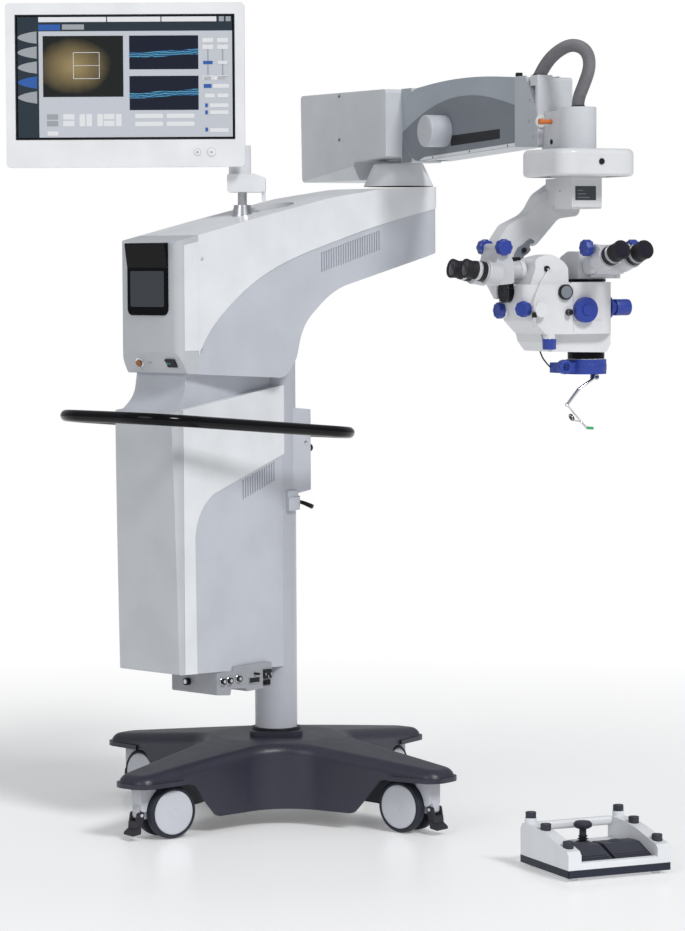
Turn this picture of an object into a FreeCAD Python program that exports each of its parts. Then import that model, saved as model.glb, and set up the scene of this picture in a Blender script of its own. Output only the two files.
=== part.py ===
import FreeCAD, Part
import math
import os

V = FreeCAD.Vector

# Driving dimensions in millimetres.
# Frame: origin on the floor under the column, +Z up, -Y towards the touch screen, +X to its right.

# Base and casters
base_turn = 4.5
leg_reach = 533.0
leg_tip_half = 48.0
leg_root = 104.0
cover_wall = 6.0
skirt_low = 40.0
skirt_inset = 219.0
skirt_reach = leg_reach - skirt_inset
tip_low = 128.0
tip_inset = 145.0
tip_reach = leg_reach - tip_inset
tip_top = 156.0
cover_crown = 26.0
lip_height = 11.0
lip_proud = 5.0
lip_inset = 118.0
lip_reach = leg_reach - lip_inset
hub_top = 198.0
hub_radius = 150.0
frame_low = 98.0
frame_tip_low = 141.0
collar_side = 128.0
collar_top = 211.0
caster_inset = 83.0
caster_radius = leg_reach - caster_inset
caster_trail = 35.0
caster_turn = (0.0, 12.0, -8.0, -16.0)
wheel_radius = 62.5
wheel_inner = 14.0
wheel_outer = 40.0
fork_half = 12.0
swivel_disc_radius = 28.0
stem_radius = 10.0
stem_length = 13.0
axle_radius = 6.0
pedal_pin_radius = 4.0
pedal_pin = (-40.0, 60.0)
running_gap = 0.05
seat_gap = 0.4

# Column, cabinet and neck
column_radius = 52.0
column_wall = 7.0
column_top = 1300.0
cabinet_front = -430.0
cabinet_half = 108.0
cabinet_rear_half = 49.0
cabinet_rear = -12.0
cabinet_low = 390.0
cabinet_rear_low = 370.0
cabinet_top = 1008.0
cabinet_rear_top = 1060.0
cabinet_seam = -402.0
panel_edge = -362.0
seam_gap = 1.0
vent_depth = 3.0
vent_width = 4.5
neck_half = 88.0
neck_rear_half = 28.0
neck_rear = -40.0
neck_front = -376.0

# Upper housing with the touch screen at its nose
housing_front = -415.0
housing_half = 103.0
housing_end_radius = 95.0
pivot_y = 450.0
housing_top = 1548.0
nose_top = 1408.0
nose_seam = -350.0
nose_chamfer = 1148.0
nose_low = 1097.0
nose_chamfer_depth = 27.0
grey_inset = 2.5
division_curve = ((-352.0, 1133.0), (-314.0, 1194.0), (-248.0, 1254.0), (-181.0, 1300.0), (-102.0, 1340.0), (89.0, 1401.0),
                  (337.0, 1462.0), (560.0, 1502.0))
screen_half = 69.0
screen_low = 1234.0
screen_proud = 4.0

# Handle hoop round the waist
hoop_radius = 14.0
hoop_half = 200.0
hoop_front = -568.0
hoop_rear = 128.0
hoop_corner = 120.0
hoop_level = 950.0
hoop_slope = 0.0887

# Monitor
monitor_turn = 44.0
monitor_y = -104.0
monitor_width = 572.0
monitor_height = 392.0
monitor_depth = 34.0
monitor_mid_x = -277.0
monitor_mid_z = 1783.0
monitor_face = -62.0
screen_width = 520.0
screen_height = 292.5
screen_mid_z = 1802.0
foot_pin_radius = 11.0
foot_pin_top = 1556.0
collar_low = 1527.0
tilt_pin_radius = 6.0
tube_back = 24.0
beam_top = 1640.0

# Swivel box and spring arm, in a frame at the pivot with +X along the arm
arm_turn = -19.0
dome_radius = 89.0
dome_top_radius = 62.5
dome_top = 1606.0
spindle_radius = 30.0
spindle_top = 1700.0
box_rear = -380.0
box_front = 98.5
box_half = 88.0
box_top = 1793.0
box_low = 1566.0
arm_half = 42.0
arm_wall = 7.0
arm_pivot = (192.0, 1697.0)
arm_end_radius = 91.0
arm_crown = 1799.5
web_top = 1789.0
web_low = 1604.0
web_front = 150.0
head_pivot = (685.0, 1706.0)
head_end_radius = 79.0
link_drop = 50.0
link_half = 8.0
tongue_half = 17.0
arm_pin_radius = 12.0
link_pin_radius = 6.0
knob_place = (320.0, 1675.0)
knob_radius = 39.0
knob_length = 56.0
cheek_thickness = 4.5
head_end = 767.0

# Post, XY coupling and microscope, in the arm frame
post_x = 880.0
post_radius = 42.0
post_low = 1613.0
post_top = 1709.0
post_spindle_radius = 20.0
coupling_side = 206.0
coupling_corner = 40.0
coupling_low = 1549.0
coupling_top = 1612.0
cavity_side = 186.0
cavity_top = 1584.0
plate_side = 126.0
plate_thickness = 12.0
stage_side = 92.0
slide_travel = 25.0
slide_gap = 0.3
display_half = 40.0
display_depth = 77.0
display_low = 1476.0
leg_back = 758.0
leg_front = 804.0
tilt_axis = (781.0, 1330.0)
tilt_lug_radius = 24.0
tilt_bolt_radius = 8.0
scope_back = 812.0
scope_front = 950.0
scope_lower_front = 925.0
scope_axis = (878.0, 22.0)
objective_radius = 42.0
objective_bore = 30.0
objective_low = 1130.0
ring_radius = 47.0
tube_rise = 16.0
ring_low = 1096.0
hose_radius = 15.0

# Foot control, in a frame at its near left corner
foot_corner = (1118.6, -214.0)
foot_turn = 68.0
foot_width = 255.0
foot_depth = 230.0
foot_wall = 32.0
foot_floor = 22.0
foot_front_top = 66.0
foot_rear_top = 97.0
foot_plinth_top = 27.0
foot_ledge_top = 42.0
toe_radius = 12.0
rear_post = 13.0
joystick_inset = 58.0
joystick_place = (foot_depth - joystick_inset, 45.0)
pedal_clearance = 34.0
pedal_rear = joystick_place[0] - pedal_clearance
pedal_overhang = 46.0
pedal_hinge = (pedal_rear - pedal_overhang, 36.0)


# Construction helpers

def corner_edges(points):
    """Edges of a closed outline; each point is (a, b, radius), radius 0 keeps it sharp."""
    count = len(points)
    spans = []
    for i in range(count):
        here = V(points[i][0], points[i][1], 0)
        before = V(points[i - 1][0], points[i - 1][1], 0) - here
        after = V(points[(i + 1) % count][0], points[(i + 1) % count][1], 0) - here
        radius = points[i][2] if len(points[i]) > 2 else 0.0
        if radius == 0.0:
            spans.append((here, here, here))
            continue
        before.normalize()
        after.normalize()
        half = before.getAngle(after) / 2.0
        reach = radius / math.tan(half)
        middle = before + after
        middle.normalize()
        inside = here + middle * (radius / math.sin(half) - radius)
        spans.append((here + before * reach, inside, here + after * reach))
    edges = []
    for i in range(count):
        first, inside, last = spans[i]
        if first != last:
            edges.append(Part.Arc(first, inside, last).toShape())
        following = spans[(i + 1) % count][0]
        if (following - last).Length > 1e-6:
            edges.append(Part.LineSegment(last, following).toShape())
    return edges


def outline_face(points):
    return Part.Face(Part.Wire(corner_edges(points)))


def prism_xy(points, low, high):
    """Outline in X and Y, raised from low to high."""
    face = outline_face(points)
    face.translate(V(0, 0, low))
    return face.extrude(V(0, 0, high - low))


def prism_xz(points, low, high):
    """Outline in X and Z, extruded along Y from low to high."""
    face = outline_face(points)
    face.rotate(V(0, 0, 0), V(1, 0, 0), 90)
    face.translate(V(0, low, 0))
    return face.extrude(V(0, high - low, 0))


def prism_yz(points, low, high):
    """Outline in Y and Z, extruded along X from low to high."""
    face = outline_face(points)
    face.rotate(V(0, 0, 0), V(1, 0, 0), 90)
    face.rotate(V(0, 0, 0), V(0, 0, 1), 90)
    face.translate(V(low, 0, 0))
    return face.extrude(V(high - low, 0, 0))


def turned(points):
    """Outline in radius and height, revolved about Z."""
    face = outline_face(points)
    face.rotate(V(0, 0, 0), V(1, 0, 0), 90)
    return face.revolve(V(0, 0, 0), V(0, 0, 1), 360)


def block(low, high):
    size = V(*high) - V(*low)
    return Part.makeBox(size.x, size.y, size.z, V(*low))


def rod(start, end, radius):
    start = V(*start)
    along = V(*end) - start
    return Part.makeCylinder(radius, along.Length, start, along)


def ring(start, end, outer, inner):
    return rod(start, end, outer).cut(rod(start, end, inner))


def joined(*shapes):
    return shapes[0].multiFuse(list(shapes[1:])).removeSplitter()


def cone(start, end, first, last):
    start = V(*start)
    along = V(*end) - start
    return Part.makeCone(first, last, along.Length, start, along)


def polar(radius, degrees):
    angle = math.radians(degrees)
    return radius * math.cos(angle), radius * math.sin(angle)


def placed(shape, place, degrees):
    """A copy turned about Z and moved."""
    copy = shape.copy()
    copy.rotate(V(0, 0, 0), V(0, 0, 1), degrees)
    copy.translate(V(*place))
    return copy


def on_arm(shape):
    return placed(shape, (0, pivot_y, 0), arm_turn)


def on_monitor(shape):
    return placed(shape, (0, monitor_y, 0), monitor_turn)


def on_foot(shape):
    return placed(shape, (foot_corner[0], foot_corner[1], 0), foot_turn)


def save(name, shape):
    shape.exportStep("parts/" + name + ".step")
    print(name, len(shape.Solids), "solids", round(shape.Volume / 1000.0, 1), "cm3")


# Base: cover shell, cast frame and casters

def star(inset):
    reach = leg_reach - inset
    half = leg_tip_half - inset
    root = leg_root - inset
    points = []
    for k in range(4):
        turn = base_turn + 90.0 * k
        for along, across, radius in ((reach, -half, 40.0 - inset), (reach, half, 40.0 - inset), (root, root, 130.0)):
            size = math.hypot(along, across)
            x, y = polar(size, turn + math.degrees(math.atan2(across, along)))
            points.append((x, y, radius))
    return points


def cover_form(inset, underside):
    """Body of revolution under the star's sloping top, down to an underside given as radius and height."""
    reach = leg_reach + 40.0
    fall = (hub_top - tip_top) / (leg_reach - hub_radius)
    edge = tip_top - fall * 40.0
    return turned(underside + [
        (reach, underside[-1][1]), (reach, edge - inset), (hub_radius, hub_top - inset, 60.0), (0, hub_top - inset),
    ])


def caster_place(k):
    x, y = polar(caster_radius, base_turn + 90.0 * k)
    return (x, y, 0), base_turn + 90.0 * k + 180.0 + caster_turn[k]


def crowned(body, radius):
    """The same body with the rim of its top rounded."""
    rim = []
    for edge in body.Edges:
        middle = edge.BoundBox.Center
        if edge.BoundBox.ZMin > tip_low + 10.0 and math.hypot(middle.x, middle.y) > hub_radius + 40.0:
            rim.append(edge)
    return body.makeFillet(radius, rim)


def make_base_cover():
    skirt = [(0, skirt_low), (skirt_reach, skirt_low, 20.0), (tip_reach, tip_low, 20.0)]
    outer = crowned(prism_xy(star(0), 0, 300).common(cover_form(0, skirt)), cover_crown)
    inner = crowned(prism_xy(star(cover_wall), 0, 300).common(cover_form(cover_wall, [(0, 0)])), cover_crown - cover_wall)
    half = collar_side / 2.0
    collar = prism_xy([(half, -half, 22.0), (half, half, 22.0), (-half, half, 22.0), (-half, -half, 22.0)],
                      hub_top - cover_wall, collar_top)
    shell = outer.cut(inner)
    lip = prism_xy(star(-lip_proud), tip_low, tip_low + lip_height).cut(prism_xy(star(1.0), 0, 300))
    lip = lip.cut(rod((0, 0, 0), (0, 0, 300), lip_reach))
    shell = joined(shell, placed(collar, (0, 0, 0), monitor_turn), lip)
    return shell.cut(rod((0, 0, 0), (0, 0, 400), column_radius))


def make_base_frame():
    inset = cover_wall + 8.0
    under = [(0, frame_low), (skirt_reach - inset, frame_low, 20.0), (tip_reach - inset, frame_tip_low, 20.0)]
    frame = prism_xy(star(inset), 0, 300).common(cover_form(inset, under))
    for k in range(4):
        place, turn = caster_place(k)
        bore = rod((0, 0, frame_tip_low - 5), (0, 0, frame_tip_low + stem_length + 1.0),
                   stem_radius + running_gap)
        frame = frame.cut(placed(bore, place, turn))
    return frame.cut(rod((0, 0, 0), (0, 0, 400), column_radius))


def make_fork():
    """Fork in the caster's own frame: swivel axis at the origin, wheels trailing along +X."""
    top = frame_tip_low - seat_gap
    axle = (caster_trail, wheel_radius)
    body = prism_xz([
        (-26, top - 9, 4), (30, top - 9, 4), (caster_trail + 16, wheel_radius + 14, 12),
        (caster_trail + 16, wheel_radius - 16, 12), (caster_trail - 16, wheel_radius - 16, 12),
        (pedal_pin[0] - 8, pedal_pin[1] - 9, 8), (pedal_pin[0] - 9, pedal_pin[1] + 12, 8),
    ], -fork_half, fork_half)
    hood = prism_xz([(-44, top - 6, 8), (-4, top - 4, 0), (-4, top - 50, 0), (-30, 68, 8), (-44, 68, 8)], -21, 21)
    hood = hood.cut(rod((axle[0], -60, axle[1]), (axle[0], 60, axle[1]), wheel_radius + 2.0))
    disc = rod((0, 0, top - 12), (0, 0, top), swivel_disc_radius)
    stem = rod((0, 0, top), (0, 0, top + stem_length), stem_radius)
    pin = rod((axle[0], -wheel_outer + 4, axle[1]), (axle[0], wheel_outer - 4, axle[1]), axle_radius)
    lugs = rod((pedal_pin[0], -fork_half - 6, pedal_pin[1]), (pedal_pin[0], fork_half + 6, pedal_pin[1]),
               pedal_pin_radius)
    return joined(body, hood, disc, stem, pin, lugs)


def make_wheels():
    """Two tyres with dished discs on one axle."""
    width = wheel_outer - wheel_inner
    profile = [
        (axle_radius + running_gap, 0), (wheel_radius, 0, 7.0), (wheel_radius, width, 9.0),
        (54.5, width, 3.0), (53.0, width - 3.0, 1.0), (15.0, width - 3.0), (axle_radius + running_gap, width - 3.0),
    ]
    near = turned(profile)
    near.rotate(V(0, 0, 0), V(1, 0, 0), 90)
    near.translate(V(caster_trail, -wheel_inner, wheel_radius))
    far = near.mirror(V(0, 0, 0), V(0, 1, 0))
    return Part.makeCompound([near, far])


def make_pedal():
    """Brake pedal: two cheeks on the fork's pin and a tread that points out and down."""
    x, z = pedal_pin
    cheek_low = fork_half + seat_gap
    side = [(x + 8, z + 7, 6), (x + 6, z - 10, 5), (x - 4, z - 30, 6), (x - 18, z - 34, 5), (x - 12, z + 7, 6)]
    cheeks = joined(prism_xz(side, cheek_low, cheek_low + 5), prism_xz(side, -cheek_low - 5, -cheek_low))
    tread = prism_xz([(x - 2, z - 24, 3), (x - 4, z - 44, 3), (x - 30, z - 48, 3), (x - 28, z - 40, 3), (x - 14, z - 30, 3)],
                     -19.0, 19.0)
    bore = rod((x, -40, z), (x, 40, z), pedal_pin_radius + running_gap)
    reach = joined(cheeks, prism_xz([(x - 6, z - 14, 2), (x - 6, z - 34, 2), (x - 18, z - 34, 5),
                                     (x - 16, z - 14, 2)], -cheek_low - 5, cheek_low + 5), tread)
    return reach.cut(bore)


# Column, cabinet and neck

def make_column():
    return ring((0, 0, frame_low), (0, 0, column_top), column_radius, column_radius - column_wall)


def cabinet_plan(inset):
    half = cabinet_half - inset
    rear = cabinet_rear_half - inset
    front = cabinet_front - 14.0 + inset
    return [(half, front, 26.0), (rear, cabinet_rear, 0), (-rear, cabinet_rear, 0), (-half, front, 26.0)]


def cabinet_profile():
    return [
        (cabinet_front + 8.0, cabinet_low, 5.0), (cabinet_rear, cabinet_rear_low, 0),
        (cabinet_rear, cabinet_rear_top, 0), (cabinet_front - 6.0, cabinet_top, 8.0),
    ]


def cabinet_form():
    plan = prism_xy(cabinet_plan(0), 0, 1200)
    side = prism_yz(cabinet_profile(), -200, 200)
    return plan.common(side).cut(rod((0, 0, 0), (0, 0, 1400), column_radius))


def panel_region():
    """Everything in front of the curve between the white side panels and the grey shell."""
    return prism_yz([
        (-700, 200), (panel_edge + 8.0, 200), (panel_edge, 788.0, 118.0), (60, 914.0), (60, 1300), (-700, 1300),
    ], -300, 300)


def make_cabinet_cover():
    return cabinet_form().common(block((-300, -700, 0), (300, cabinet_seam - seam_gap, 1400)))


def make_cabinet_panels():
    body = cabinet_form().common(block((-300, cabinet_seam, 0), (300, 100, 1400)))
    return body.common(panel_region())


def vent_slots(first, last, count, mid_first, mid_last, height):
    slots = []
    for i in range(count):
        share = i / (count - 1.0)
        y = first + (last - first) * share
        mid = mid_first + (mid_last - mid_first) * share
        slots.append(block((-300, y, mid - height / 2.0), (300, y + vent_width, mid + height / 2.0)))
    return Part.makeCompound(slots)


def make_cabinet_shell():
    body = cabinet_form().cut(panel_region())
    body = body.common(prism_xy(cabinet_plan(grey_inset), 0, 1200))
    slots = vent_slots(-178.0, -57.0, 14, 813.0, 850.0, 46.0)
    depth = prism_xy(cabinet_plan(grey_inset + vent_depth), 0, 1300)
    return body.cut(slots.cut(depth))


def make_neck():
    plan = prism_xy([(neck_half + 8.0, -440, 20.0), (neck_rear_half, neck_rear, 0), (-neck_rear_half, neck_rear, 0),
                     (-neck_half - 8.0, -440, 20.0)], 900, 1200)
    rise = (cabinet_rear_top - cabinet_top) / (cabinet_rear - cabinet_front + 6.0)
    low_front = cabinet_top + rise * (-418.0 - cabinet_front + 6.0)
    low_rear = cabinet_top + rise * (neck_rear - cabinet_front + 6.0)
    top_rear = housing_underside(neck_rear)
    side = prism_yz([(-418.0, low_front), (neck_rear, low_rear), (neck_rear, top_rear),
                     (neck_front, nose_low), (neck_front - 8.0, 1042.0, 70.0)], -200, 200)
    return plan.common(side).cut(rod((0, 0, 0), (0, 0, 1400), column_radius)).cut(housing_form(0))


def make_connector_panel():
    """Socket box under the cabinet, stepped towards the column."""
    roof = 396.0
    body = prism_yz([(-277, 326, 4), (-232, 322, 4), (-228, 338, 4), (-180, 334, 4), (-176, 326, 4), (-92, 330, 4),
                     (-92, roof), (-277, roof)], -78, 78)
    return body.cut(cabinet_form()).cut(block((-300, -700, roof - 6.0), (300, 300, roof + 10.0)))


def make_sockets():
    """Power inlet, fuse drawer, round sockets and the equipotential pin on the socket box."""
    x = 78.0
    inlet = block((x, -122, 352), (x + 6, -98, 374))
    fuse = block((x, -122, 336), (x + 4, -100, 348))
    rounds = [rod((x, y, z), (x + 8, y, z), 7.5) for y, z in ((-258, 358), (-236, 358), (-206, 360))]
    socket = block((x, -168, 346), (x + 5, -138, 358))
    pin = rod((x, -150, 367), (x + 16, -150, 367), 3.0)
    lock = rod((-20, -277, 352), (-20, -287, 352), 9.0)
    return Part.makeCompound([inlet, fuse, socket, pin, lock] + rounds)


def make_handle():
    """Closed hoop round the waist, sloping down towards the rear, on two brackets."""
    inner_half = hoop_half - hoop_corner
    points = []
    for x, y in ((hoop_half, hoop_front), (hoop_half, hoop_rear), (-hoop_half, hoop_rear), (-hoop_half, hoop_front)):
        points.append((x, y, hoop_corner))
    path = Part.Wire(corner_edges(points))
    start = path.Edges[0].valueAt(path.Edges[0].FirstParameter)
    along = path.Edges[0].tangentAt(path.Edges[0].FirstParameter)
    section = Part.Wire(Part.makeCircle(hoop_radius, start, along))
    hoop = path.makePipeShell([section], True, False)
    hoop.rotate(V(0, 0, 0), V(1, 0, 0), -math.degrees(math.atan(hoop_slope)))
    hoop.translate(V(0, 0, hoop_level))
    level = hoop_level - hoop_slope * hoop_rear
    arms = []
    for x in (-32.0, 32.0):
        arms.append(block((x - 9, 84, level - 9), (x + 9, hoop_rear, level + 9)))
    return joined(hoop, *arms)


def make_rear_housing():
    """Housing behind the column that carries the hoop, with a ball knob and a clamp hub."""
    plan = prism_xy([(50, 0, 0), (50, 84, 14), (-50, 84, 14), (-50, 0, 0)], 700, 1100)
    side = prism_yz([(0, 788, 0), (84, 800, 6), (84, 996, 6), (0, 1004, 0)], -100, 100)
    body = plan.common(side).cut(rod((0, 0, 0), (0, 0, 1400), column_radius))
    knob = joined(rod((20, 84, 900), (20, 96, 900), 4.0), Part.makeSphere(10.0, V(20, 100, 900)))
    hub = ring((0, 0, 752), (0, 0, 784), column_radius + 10.0, column_radius)
    neck = ring((0, 0, 780), (0, 0, 800), column_radius + 6.0, column_radius)
    behind_cabinet = block((-200, cabinet_rear + seat_gap, 0), (200, 300, 1400))
    return joined(body, knob, neck, hub).common(behind_cabinet)


# Upper housing

def housing_plan(inset):
    half = housing_half - inset
    end = housing_end_radius - inset
    return [(half, housing_front, 20.0), (end, pivot_y + end, end - 0.01),
            (-end, pivot_y + end, end - 0.01), (-half, housing_front, 20.0)]


def housing_underside(y):
    """Height of the straight bottom edge between the nose and the column."""
    share = (y - neck_front) / (-60.0 - neck_front)
    return nose_low + share * (1079.0 - nose_low)


def housing_profile():
    front = housing_front
    return [
        (front, nose_chamfer, 0), (front + nose_chamfer_depth, nose_low, 6.0),
        (-58.0, 1078.5, 38.0), (-18.0, 1126.0, 40.0), (4.0, 1206.0, 130.0), (112.0, 1290.0, 260.0),
        (470.0, 1374.0, 40.0), (528.0, 1384.0, 26.0), (545.0, 1488.0, 0), (548.0, housing_top, 6.0),
        (300.0, 1540.0, 500.0), (100.0, 1514.0, 600.0), (-180.0, 1458.0, 600.0), (front, nose_top, 10.0),
    ]


def housing_form(inset):
    plan = prism_xy(housing_plan(inset), 1000, 1700)
    side = prism_yz(housing_profile(), -200, 200)
    return plan.common(side).cut(rod((0, 0, 0), (0, 0, 2000), column_radius))


def grey_region():
    """Everything under the curve that divides the white shell from the grey shell."""
    curve = Part.BSplineCurve()
    curve.interpolate([V(-300, y, z) for y, z in division_curve])
    first = V(-300, *division_curve[0])
    last = V(-300, *division_curve[-1])
    below = Part.makePolygon([last, V(-300, last.y, 900), V(-300, first.y, 900), first])
    face = Part.Face(Part.Wire([curve.toShape()] + below.Edges))
    return face.extrude(V(600, 0, 0))


def make_arm_nose():
    body = housing_form(0).common(block((-300, -700, 0), (300, nose_seam - seam_gap, 2000)))
    return body


def behind_nose():
    return block((-300, nose_seam, 0), (300, 900, 2000))


def make_upper_shell():
    return housing_form(0).common(behind_nose()).cut(grey_region())


def make_lower_shell():
    body = housing_form(grey_inset).common(behind_nose()).common(grey_region())
    slots = vent_slots(68.0, 274.0, 25, 1357.0, 1411.0, 48.0)
    depth = prism_xy(housing_plan(grey_inset + vent_depth), 0, 2000)
    return body.cut(slots.cut(depth))


def make_touch_screen():
    """Glass panel on the nose under a sloping hood."""
    front = housing_front - screen_proud
    panel = prism_xz([(-screen_half, screen_low, 16), (screen_half, screen_low, 16),
                      (screen_half, nose_top - 4, 4), (-screen_half, nose_top - 4, 4)], front, housing_front)
    hood = prism_yz([(front - 9.0, nose_top - 4.0, 3), (front, nose_top - 62.0), (housing_front, nose_top - 62.0),
                     (housing_front, nose_top - 4.0)], -screen_half, screen_half)
    return joined(panel, hood)


def nose_slope_place(shape, x):
    """Seats a shape made along -Y at the origin on the sloping lower face of the nose."""
    angle = math.degrees(math.atan2(nose_chamfer_depth, nose_chamfer - nose_low))
    shape.rotate(V(0, 0, 0), V(1, 0, 0), angle)
    mid_y = housing_front + nose_chamfer_depth / 2.0
    mid_z = (nose_chamfer + nose_low) / 2.0
    shape.translate(V(x, mid_y, mid_z))
    return shape


def make_power_switch():
    rocker = prism_yz([(-seat_gap, 0), (-1.7, 11), (-5.5, 11, 1), (-3.2, 0, 0), (-3.2, -11, 1), (-1.7, -11)], -16, 16)
    return nose_slope_place(rocker, 64.0)


def make_lock_key():
    return nose_slope_place(rod((0, -seat_gap, 0), (0, -7, 0), 8.0), -46.0)


def make_dome():
    return joined(
        turned([(0, housing_top), (dome_radius, housing_top), (dome_top_radius, dome_top, 8.0), (0, dome_top)]),
        rod((0, 0, dome_top), (0, 0, spindle_top), spindle_radius))


# Monitor

def make_monitor_foot():
    base = joined(cone((0, 0, 1462), (0, 0, 1496), 27, 20), rod((0, 0, 1490), (0, 0, foot_pin_top), foot_pin_radius))
    return placed(base, (0, monitor_y, 0), monitor_turn).cut(housing_form(0))


def make_monitor_post():
    """Swivel collar on the pin, the tube behind the screen and the beam to its tilt hinge."""
    collar = prism_xz([(-36, collar_low, 6), (56, collar_low, 6), (56, 1562, 6), (30, 1571, 6), (-36, 1571, 6)],
                      -26, tube_back + 26)
    clip = prism_xz([(47, collar_low + 20, 2), (56, collar_low + 20, 2), (56, 1502, 3), (47, 1502, 3)], -10, 10)
    tube = rod((-6, tube_back, 1571), (-6, tube_back, beam_top), 27)
    end = monitor_mid_x - 34
    beam = prism_xz([(-6, beam_top - 34, 0), (-6, beam_top, 0), (end + 68, beam_top, 20), (end + 68, 1800, 8), (end, 1800, 8),
                     (end, beam_top - 34, 20)], 20, 44)
    fork = block((end + 2, 0, 1771), (monitor_mid_x + 32, 30, 1795))
    barrel = rod((monitor_mid_x - 36, 0, monitor_mid_z), (monitor_mid_x + 36, 0, monitor_mid_z), 17)
    body = joined(collar, clip, tube, beam, fork, barrel)
    body = body.cut(rod((0, 0, 1500), (0, 0, foot_pin_top + 2), foot_pin_radius + running_gap))
    return body.cut(rod((monitor_mid_x - 80, 0, monitor_mid_z), (monitor_mid_x + 80, 0, monitor_mid_z),
                        tilt_pin_radius + running_gap))


def make_monitor_housing():
    """Front frame, crowned back, wall plate and the two hinge ears."""
    half_w = monitor_width / 2.0
    half_h = monitor_height / 2.0
    corners = [(half_w, -half_h, 9), (half_w, half_h, 9), (-half_w, half_h, 9), (-half_w, -half_h, 9)]
    shell = prism_xz(corners, -monitor_depth / 2.0, monitor_depth / 2.0)
    shell.translate(V(monitor_mid_x, monitor_face + monitor_depth / 2.0, monitor_mid_z))
    back = monitor_face + monitor_depth
    hole = block((monitor_mid_x - screen_width / 2.0, monitor_face - 5, screen_mid_z - screen_height / 2.0),
                 (monitor_mid_x + screen_width / 2.0, monitor_face + 5, screen_mid_z + screen_height / 2.0))
    ears = []
    for side in (-1, 1):
        inner = monitor_mid_x + side * (36 + seat_gap)
        outer = monitor_mid_x + side * 50
        low, high = min(inner, outer), max(inner, outer)
        ear = prism_yz([(back, monitor_mid_z - 22), (0, monitor_mid_z - 16, 15), (16, monitor_mid_z, 15),
                        (0, monitor_mid_z + 16, 15), (back, monitor_mid_z + 22)], low, high)
        ears.append(ear)
    pin = rod((monitor_mid_x - 50, 0, monitor_mid_z), (monitor_mid_x + 50, 0, monitor_mid_z), tilt_pin_radius)
    plate = block((monitor_mid_x - 60, back, monitor_mid_z - 50), (monitor_mid_x + 60, back + 6, monitor_mid_z + 50))
    return joined(shell.cut(hole), plate, pin, *ears)


def make_monitor_screen():
    return block((monitor_mid_x - screen_width / 2.0, monitor_face + 1.5, screen_mid_z - screen_height / 2.0),
                 (monitor_mid_x + screen_width / 2.0, monitor_face + 5, screen_mid_z + screen_height / 2.0))


# Swivel box and spring arm, made in the arm frame

def lower_chamfer(side):
    """Wedge that slopes the box's lower side edge up towards the front."""
    wires = []
    for x, rise, width in ((box_rear - 1, 3.0, 4.0), (box_front + 1, 56.0, 56.0)):
        corner = side * (box_half + 1)
        points = [V(x, corner, box_low - 5), V(x, corner, box_low + rise), V(x, corner - side * width, box_low - 5)]
        wires.append(Part.makePolygon(points + points[:1]))
    return Part.makeLoft(wires, True, True)


def make_swivel_box():
    body = prism_xz([
        (box_rear, box_top, 12), (box_rear + 6, box_low, 14), (-100, box_low, 4), (-72, dome_top + 5.5, 4),
        (box_front, dome_top + 14, 4), (box_front, box_top - 5, 10),
    ], -box_half, box_half)
    body = body.cut(lower_chamfer(1)).cut(lower_chamfer(-1))
    x, z = arm_pivot
    tongue = prism_xz([(box_front - 2, z + 26, 0), (x, z + 26, 25), (x + 28, z, 25), (x + 24, z - link_drop - 18, 16),
                       (x - 20, z - link_drop - 18, 10), (box_front - 2, z - 44, 0)], -tongue_half, tongue_half)
    slot = prism_xz([(x - 70, z - link_drop + 20, 0), (x + 60, z - link_drop + 20, 0), (x + 60, z - 100, 0),
                     (x - 70, z - 100, 0)], -link_half - seat_gap, link_half + seat_gap)
    fills = prism_xz([(box_front - 2, web_top, 0), (web_front, web_top, 4), (web_front, web_low, 4), (box_front - 2, web_low, 0)],
                     -arm_half, arm_half)
    fills = fills.cut(rod((x, -60, z), (x, 60, z), arm_end_radius + seat_gap))
    body = joined(body, tongue, *fills.Solids)
    body = body.cut(slot.common(block((x - 34, -50, 0), (x + 80, 50, 3000))))
    body = body.cut(rod((x, -100, z), (x, 100, z), arm_pin_radius + running_gap))
    pin = rod((x, -tongue_half, z - link_drop), (x, tongue_half, z - link_drop), link_pin_radius)
    bore = rod((0, 0, dome_top - 20), (0, 0, spindle_top + 1), spindle_radius + running_gap)
    return joined(body, pin).cut(bore)


def arm_outline(inset):
    """Side outline of the arm: round about its rear pivot, crowned top, round about the head pivot."""
    x, z = arm_pivot
    hx, hz = head_pivot
    big = arm_end_radius - inset
    small = head_end_radius - inset
    top = [V(x, 0, z + big), V((x + hx) / 2.0 - 30, 0, arm_crown - inset), V(hx, 0, hz + small)]
    edges = [
        Part.Arc(V(x, 0, z - big), V(x - big, 0, z), V(x, 0, z + big)).toShape(),
        Part.Arc(*top).toShape(),
        Part.Arc(V(hx, 0, hz + small), V(hx + small, 0, hz), V(hx, 0, hz - small)).toShape(),
        Part.LineSegment(V(hx, 0, hz - small), V(x, 0, z - big)).toShape(),
    ]
    return Part.Face(Part.Wire(edges))


def arm_slab(inset, half):
    face = arm_outline(inset)
    face.translate(V(0, -half, 0))
    return face.extrude(V(0, 2 * half, 0))


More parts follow.
